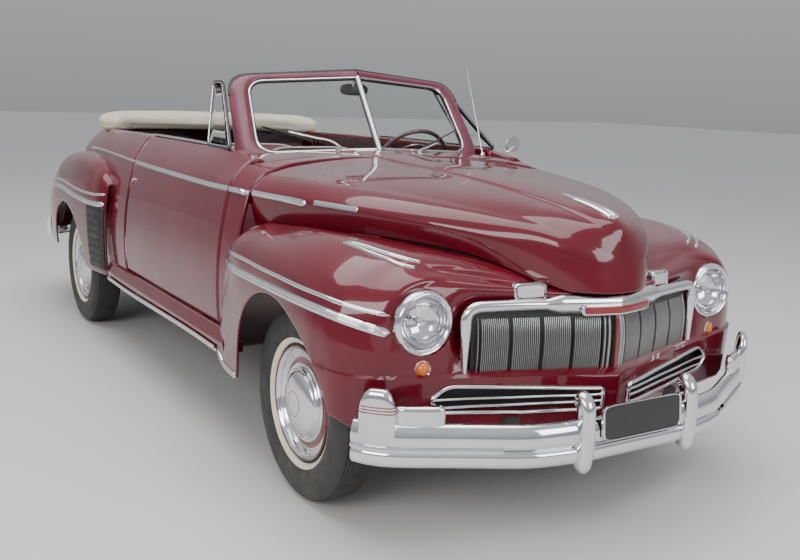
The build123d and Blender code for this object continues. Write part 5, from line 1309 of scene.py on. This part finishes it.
# Blank plate between them, with a pale rim
PLATE_SPOT, PLATE_UP = (2.5560, 0.0, 0.4560), (-0.10, 0, 0.995)
plate_loop = oval(352, 112, 100, 9.0)
piece("plate_rim", placed(dish(plate_loop,
                               ((1.0, -6), (1.0, 2), (0.985, 4), (0.965, 3.5), (0.955, 1), (0.955, -6))) * MM,
                          PLATE_SPOT, (0, 1, 0), PLATE_UP), CHROME, wrap=TUBE)
piece("plate_face", placed(dish(oval(340, 104, 100, 9.0), ((1.0, -5), (1.0, 1.0), (0.0, 1.2))) * MM,
                           PLATE_SPOT, (0, 1, 0), PLATE_UP), PLATE_BLACK, wrap=TUBE)

# Ornament: a broad ribbed spear along the bonnet's crown
orn_x = np.linspace(2105, 2366, 60)
crown = hood_half[:, -1]
order = np.argsort(crown[:, 0])
orn_z = np.interp(orn_x, crown[order, 0] * 1000, crown[order, 2] * 1000) + 3
part = np.linspace(0, 1, 60)
orn_share = (0.40 + 0.60 * part ** 0.7) * np.sqrt(np.clip(1 - np.clip((part - 0.93) / 0.07, 0, 1) ** 2, 0.02,
                                                          1))
orn_t = np.linspace(-1, 1, 33)
orn_rise = 12 * np.sqrt(np.clip(1 - 0.9 * orn_t ** 2, 0, 1)) * (0.86 + 0.14 * np.cos(3 * np.pi * orn_t)) - 2
orn_loop = np.concatenate([np.stack([27 * orn_t, orn_rise], -1), ((27.0, -10.0), (-27.0, -10.0))]) * MM
orn_path = np.stack([orn_x, 0 * orn_x, orn_z], -1) * MM
ornament = piece("ornament_spear", carried(orn_path, orn_loop, scale=orn_share), CHROME, "hood", wrap=TUBE)
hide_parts("hood_ornament")


# Cabin: pads are rounded boxes with pleats sewn into their face
def pad_grid(half, lean, centre, pleats=0, power=0.30, rows=50, columns=98):
    """Rounded box of half sizes (ahead, across, up), its front face rippled by pleats, leaning back by an angle."""
    phi = np.linspace(-np.pi / 2, np.pi / 2, rows)[:, None]
    theta = around(columns)[None, :]
    flat = powered(np.cos(phi), power)
    ahead, across_way = flat * powered(np.cos(theta), power), flat * powered(np.sin(theta), power)
    up = powered(np.sin(phi), power) + 0 * theta
    edge = np.clip((1 - np.abs(across_way)) / 0.12, 0, 1) * np.clip((1 - np.abs(up)) / 0.16, 0, 1)
    swell = 0.010 * (1 - across_way ** 2) * (1 - up ** 2)
    ripple = 0.007 * (np.abs(np.sin(np.pi * pleats * (across_way + 1) / 2)) ** 0.6 - 1) if pleats else 0.0
    x = half[0] * ahead + np.where(ahead > 0.3, swell + ripple * edge, 0.0)
    z = half[2] * up
    turn_x, turn_z = x * np.cos(lean) - z * np.sin(lean), x * np.sin(lean) + z * np.cos(lean)
    return np.stack([centre[0] + turn_x, centre[1] + half[1] * across_way, centre[2] + turn_z], -1)


def cushion_grid(half, tip, centre, pleats):
    """Seat cushion: the same rounded box with its pleated face turned upwards."""
    return pad_grid((half[2], half[1], half[0]), -np.pi / 2 + tip, centre, pleats)


PADS = (
    ("front_cushion", cushion_grid((0.238, 0.592, 0.080), 0.05, (-0.055, 0.0, 0.585), 14)),
    ("front_back_left", pad_grid((0.062, 0.292, 0.262), 0.235, (-0.432, 0.300, 0.862), 7)),
    ("front_back_right", pad_grid((0.062, 0.292, 0.262), 0.235, (-0.432, -0.300, 0.862), 7)),
    ("rear_cushion", cushion_grid((0.190, 0.545, 0.075), 0.06, (-0.810, 0.0, 0.565), 13)),
    ("rear_back", pad_grid((0.058, 0.545, 0.245), 0.24, (-1.095, 0.0, 0.858), 13)),
)
for name, grid in PADS:
    piece(name, grid, LEATHER, wrap=TUBE)
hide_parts("front_seat")
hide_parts("rear_seat")
for name, half, lean, centre in (
    ("front_left", (0.062, 0.292, 0.262), 0.235, (-0.432, 0.300, 0.862)),
    ("front_right", (0.062, 0.292, 0.262), 0.235, (-0.432, -0.300, 0.862)),
    ("rear", (0.058, 0.545, 0.245), 0.24, (-1.095, 0.0, 0.858)),
):
    angle = around(140)
    c, s = powered(np.cos(angle), 0.3), powered(np.sin(angle), 0.3)
    x, y, z = np.full(140, half[0] * 0.90), half[1] * 0.985 * c, half[2] * 0.985 * s
    loop = np.stack([centre[0] + x * np.cos(lean) - z * np.sin(lean), centre[1] + y,
                     centre[2] + x * np.sin(lean) + z * np.cos(lean)], -1)
    piece(f"piping_{name}", carried(loop, circle(0.0042, 8), (1, 0, 0.25), closed=True), PIPING, wrap=LOOP)
piece("front_plinth", pad_grid((0.225, 0.560, 0.055), 0.0, (-0.075, 0.0, 0.472), power=0.12, rows=20,
                               columns=48),
      CARPET, wrap=TUBE)
piece("rear_plinth", pad_grid((0.170, 0.520, 0.050), 0.0, (-0.790, 0.0, 0.466), power=0.12, rows=20,
                              columns=48),
      CARPET, wrap=TUBE)

# Folded top: its cover lies in one long roll round the back of the cabin, with soft folds along it
ROLL_LINE = np.array((
    (-1160, -652, 1214), (-1235, -640, 1222), (-1308, -588, 1229), (-1362, -470, 1233), (-1385, -280, 1235),
    (-1392, 0, 1236),
    (-1385, 280, 1235), (-1362, 470, 1233), (-1308, 588, 1229), (-1235, 640, 1222), (-1160, 652, 1214),
), float)
roll_path = smooth_line(ROLL_LINE, 130) * MM
run = chord(roll_path)[:, None]
angle = around(84)[None, :]
c, s = np.cos(angle), np.sin(angle)
wide = 0.092 * np.sign(c) * np.abs(c) ** 0.75
tall = 0.056 * np.sign(s) * np.abs(s) ** 0.80
fold = 1 + 0.045 * np.sin(3 * angle + 2.1 * np.sin(2.3 * run)) * (s > -0.3) + 0.02 * np.sin(7 * angle + 5 * run)
fold = fold + 0.018 * np.sin(23 * run + 2 * np.sin(5 * run)) * np.clip(s, 0, 1)
side_way, rise_way = frames_along(roll_path, (0, 0, 1))
end = end_shares(roll_path, 0.19, (0.75, 0.75))[:, None]
roll = (roll_path[:, None, :] + side_way[:, None, :] * (wide * fold * end)[..., None]
        + rise_way[:, None, :] * (tall * fold * (0.25 + 0.75 * end))[..., None])
roll = np.concatenate([np.repeat(roll[:1].mean(axis=1, keepdims=True), 84, 1), roll,
                       np.repeat(roll[-1:].mean(axis=1, keepdims=True), 84, 1)])
top_roll = piece("folded_top_cover", roll, CANVAS, wrap=TUBE, sharp=60)
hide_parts("folded_top")
hem_path = roll[2:-2, 60]
piece("top_hem", carried(hem_path, oval(0.012, 0.006, 10), (0, 0, 1)), BLACK, slot="canvas", wrap=TUBE)

# Steering wheel: thin rim, two spokes, boss and a half horn ring, all about the column
COLUMN_FOOT, COLUMN_HEAD = np.array((1018.0, 380.0, 770.0)) * MM, np.array((520.0, 380.0, 1068.0)) * MM
COLUMN_WAY = (COLUMN_HEAD - COLUMN_FOOT) / np.linalg.norm(COLUMN_HEAD - COLUMN_FOOT)
WHEEL_HUB = COLUMN_HEAD + COLUMN_WAY * 0.040
ACROSS = np.array((0.0, 1.0, 0.0))
UPWARD = np.cross(COLUMN_WAY, ACROSS)
rim_loop = np.stack([0.212 + 0.0105 * np.cos(around(18)), 0.0105 * np.sin(around(18))], -1)
rim = piece("steering_rim", turned(rim_loop, WHEEL_HUB, COLUMN_WAY, 120), WHEEL_PLASTIC, "steering_wheel",
            wrap=LOOP)
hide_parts("steering_wheel")
for name, side in SIDES:
    spoke = np.array([WHEEL_HUB + ACROSS * side * r - COLUMN_WAY * 0.022 * (1 - r / 0.212)
                      for r in np.linspace(0.03, 0.208, 12)])
    piece(f"spoke_{name}", carried(spoke, oval(0.010, 0.026, 14), UPWARD), WHEEL_PLASTIC, "steering_wheel",
          wrap=TUBE)
arc = np.array([WHEEL_HUB - COLUMN_WAY * 0.006 + (ACROSS * np.cos(a) + UPWARD * np.sin(a)) * 0.135
                for a in np.linspace(np.pi * 1.05, np.pi * 1.95, 50)])
piece("horn_ring", carried(arc, circle(0.0042, 10), COLUMN_WAY), CHROME, "steering_wheel", wrap=TUBE)
piece("wheel_boss", turned(((0.034, -0.036), (0.040, -0.018), (0.038, 0.004), (0.030, 0.012), (0.018, 0.017),
                            (0.0, 0.018)),
                           WHEEL_HUB, COLUMN_WAY, 40), WHEEL_PLASTIC, "steering_wheel", wrap=SPUN)
piece("boss_ring", turned(((0.0300, 0.0125), (0.0285, 0.0160), (0.0260, 0.0165), (0.0245, 0.0140)), WHEEL_HUB,
                          COLUMN_WAY, 40),
      CHROME, "steering_wheel", wrap=SPUN)

# Dials and fins on the dashboard, faces towards the seats
for name, y, radius in (("speed", 0.380, 0.062), ("gauges", 0.235, 0.040), ("clock", -0.400, 0.048)):
    spot = np.array((0.688, y, 1.095))
    piece(f"dial_rim_{name}",
          turned(((radius, -0.006), (radius + 0.001, 0.004), (radius - 0.006, 0.008), (radius - 0.010, 0.003)),
                                     spot, (-1, 0, 0.06), 48), CHROME, wrap=SPUN)
    piece(f"dial_face_{name}",
          turned(((radius - 0.007, -0.004), (radius - 0.008, 0.002), (0.0, 0.002)), spot, (-1, 0, 0.06), 48),
          PIPING, slot="cream_plastic", wrap=SPUN)
dash_fins = []
for y in np.linspace(-0.110, 0.110, 13):
    path = np.array([(0.689 - 0.004 * np.sin(np.pi * t), y, 1.035 + 0.105 * t) for t in np.linspace(0, 1, 10)])
    dash_fins.append(carried(path, oval(0.006, 0.010, 10), (1, 0, 0)))
piece("dash_fins", dash_fins, CHROME, wrap=TUBE)

# Mirrors and quarter lights
mirror = dish(oval(0.150, 0.056, 60, 2.8),
              ((0.0, -0.010), (0.6, -0.009), (0.95, -0.004), (1.0, 0.0), (0.97, 0.006), (0.0, 0.006)))
inside = piece("inside_mirror_head", placed(mirror, (0.566, 0.010, 1.462), (0.0, -1.0, 0.0), (-0.06, 0, 1.0)),
               BLACK, wrap=TUBE)
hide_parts("inside_mirror")
stalk = smooth_line(((0.570, 0.0, 1.478), (0.576, 0.0, 1.498), (0.588, 0.0, 1.518)), 16)
piece("mirror_stalk", carried(stalk, circle(0.006, 12), (1, 0, 0)), CHROME, wrap=TUBE)
VENT = np.array(((800, 704, 1188), (520, 704, 1188), (332, 604, 1486), (452, 604, 1486)), float) * MM
vent_middle = VENT.mean(axis=0)
vent_corners = VENT + (vent_middle - VENT) * 0.055
vent_loop = rounded_line(((vent_corners[0] + vent_corners[3]) / 2, vent_corners[0], vent_corners[1],
                          vent_corners[2],
                          vent_corners[3], (vent_corners[0] + vent_corners[3]) / 2), 0.030, 160)[:-1]
vent_normal = np.cross(VENT[1] - VENT[0], VENT[3] - VENT[0])
vent_normal = vent_normal / np.linalg.norm(vent_normal)
vent_normal = vent_normal * np.sign(vent_normal[1])
vents = both("vent_frame", carried(vent_loop, oval(0.013, 0.013, 14), vent_normal, closed=True), DARK_STEEL,
             "door_{}", wrap=LOOP)
both("vent_bead", carried(vent_middle + (vent_loop - vent_middle) * 0.955 + vent_normal * 0.005,
                          circle(0.0026, 8), vent_normal,
                          closed=True), CHROME, "door_{}", wrap=LOOP)
vent_rows = np.stack([vent_middle + (vent_loop - vent_middle) * share for share in (0.97, 0.5, 0.0)])
both("vent_pane", vent_rows, GLASS, "door_{}", wall=0.004, wrap=TUBE, centre=(0.6, 0.5))
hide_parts("vent_window_left")
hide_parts("vent_window_right")
# Dark window channel with a chrome edge along each door's top
channel = smooth_line(np.array(((508, 676, 1201), (200, 681, 1203), (-100, 679, 1202), (-290, 677, 1200)),
                               float), 50) * MM
both("window_channel", carried(channel, oval(0.026, 0.008, 12), (0, 0.1, 1)), TRIM_RUBBER, "door_{}", wrap=TUBE)
both("channel_edge", carried(channel + np.array((0.0, 0.019, 0.0015)), oval(0.008, 0.008, 10), (0, 0.1, 1)),
     CHROME, "door_{}", wrap=TUBE)


# What is left of the CAD's looks
LOOKS = {"body_paint": PAINT, "dash_paint": SATIN, "wheel_paint": RED_ENAMEL, "floor_paint": CARPET,
         "chassis_black": BLACK, "bare_steel": STEEL, "cast_iron": IRON, "chrome": CHROME,
         "grille_steel": DULL_CHROME,
         "canvas": CANVAS, "seat_leather": LEATHER, "cream_plastic": PLASTIC, "lamp_glass": LENS,
         "screen_glass": GLASS, "amber_glass": AMBER, "red_glass": RED_LENS, "tyre": RUBBER}
SLOTS = {part["node"]: part["material_slot"] for part in frame["record"]["subparts"]}
for name, node in NODES.items():
    look = LOOKS[SLOTS[name]]
    node.data.materials.clear()
    node.data.materials.append(look)


# Floor, light and camera

floor_finish = finish_of("floor_finish", (0.62, 0.61, 0.60), rough=(0.80, 0.90))
edge = np.array((-45.0, 45.0))
floor_grid = np.stack(np.broadcast_arrays(edge[:, None], edge[None, :], 0.0 * edge[:, None] * edge[None, :]),
                      -1)
floor = shown("floor_plane", mesh_of("floor_plane", [floor_grid]))
floor.data.materials.append(floor_finish)

world = bpy.data.worlds.new("studio")
bpy.context.scene.world = world
world.use_nodes = True
tree = world.node_tree
tree.nodes.clear()
height = add_node(tree, "SeparateXYZ", {0: add_node(tree, "TexCoord").outputs["Generated"]}).outputs["Z"]
ramp = add_node(tree, "ValToRGB", {
    "Fac": add_node(tree, "MapRange", {"Value": height, "From Min": -1.0}).outputs["Result"]})
for stop, at, colour in zip(ramp.color_ramp.elements, (0.42, 0.72),
                            ((0.30, 0.30, 0.31, 1), (0.86, 0.88, 0.92, 1))):
    stop.position, stop.color = at, colour
ground = add_node(tree, "Background", {"Color": ramp.outputs["Color"], "Strength": 0.75})
add_node(tree, "OutputWorld", {"Surface": ground.outputs[0]})


def lamp(name, spot, target, size, power, colour=(1, 1, 1)):
    """Rectangular soft light at spot that faces target."""
    data = bpy.data.lights.new(name, "AREA")
    data.shape = "RECTANGLE"
    data.size, data.size_y = size
    data.energy = power
    data.color = colour
    obj = shown(name, data)
    obj.location = spot
    obj.rotation_euler = (Vector(target) - Vector(spot)).to_track_quat("-Z", "Y").to_euler()


lamp("overhead", (1.0, -1.0, 6.5), (0.6, 0.0, 0.6), (7.0, 5.0), 420)
lamp("camera_side", (5.5, -7.5, 4.6), (0.8, 0.0, 0.6), (6.0, 3.0), 420, (1.0, 0.98, 0.95))
lamp("front", (9.0, 2.5, 3.6), (1.5, 0.0, 0.6), (4.0, 3.0), 220, (0.95, 0.98, 1.0))

CAMERA_SPOT = Vector((4.6100, -2.2350, 1.4484))
AZIMUTH, ELEVATION, ROLL = np.radians((57.8564, 11.0566, 2.0046))
sight = Vector((-np.sin(AZIMUTH) * np.cos(ELEVATION), np.cos(AZIMUTH) * np.cos(ELEVATION), -np.sin(ELEVATION)))
level = sight.cross(Vector((0, 0, 1))).normalized()
upright = level.cross(sight)
right = level * np.cos(ROLL) + upright * np.sin(ROLL)
upward = upright * np.cos(ROLL) - level * np.sin(ROLL)
lens_data = bpy.data.cameras.new("camera")
lens_data.sensor_fit = "HORIZONTAL"
lens_data.sensor_width = 36.0
lens_data.lens = 42.739
camera = shown("camera", lens_data)
camera.matrix_world = Matrix((
    (right.x, upward.x, -sight.x, CAMERA_SPOT.x),
    (right.y, upward.y, -sight.y, CAMERA_SPOT.y),
    (right.z, upward.z, -sight.z, CAMERA_SPOT.z),
    (0, 0, 0, 1),
))
bpy.context.scene.camera = camera
bpy.context.scene.view_settings.view_transform = "AgX"
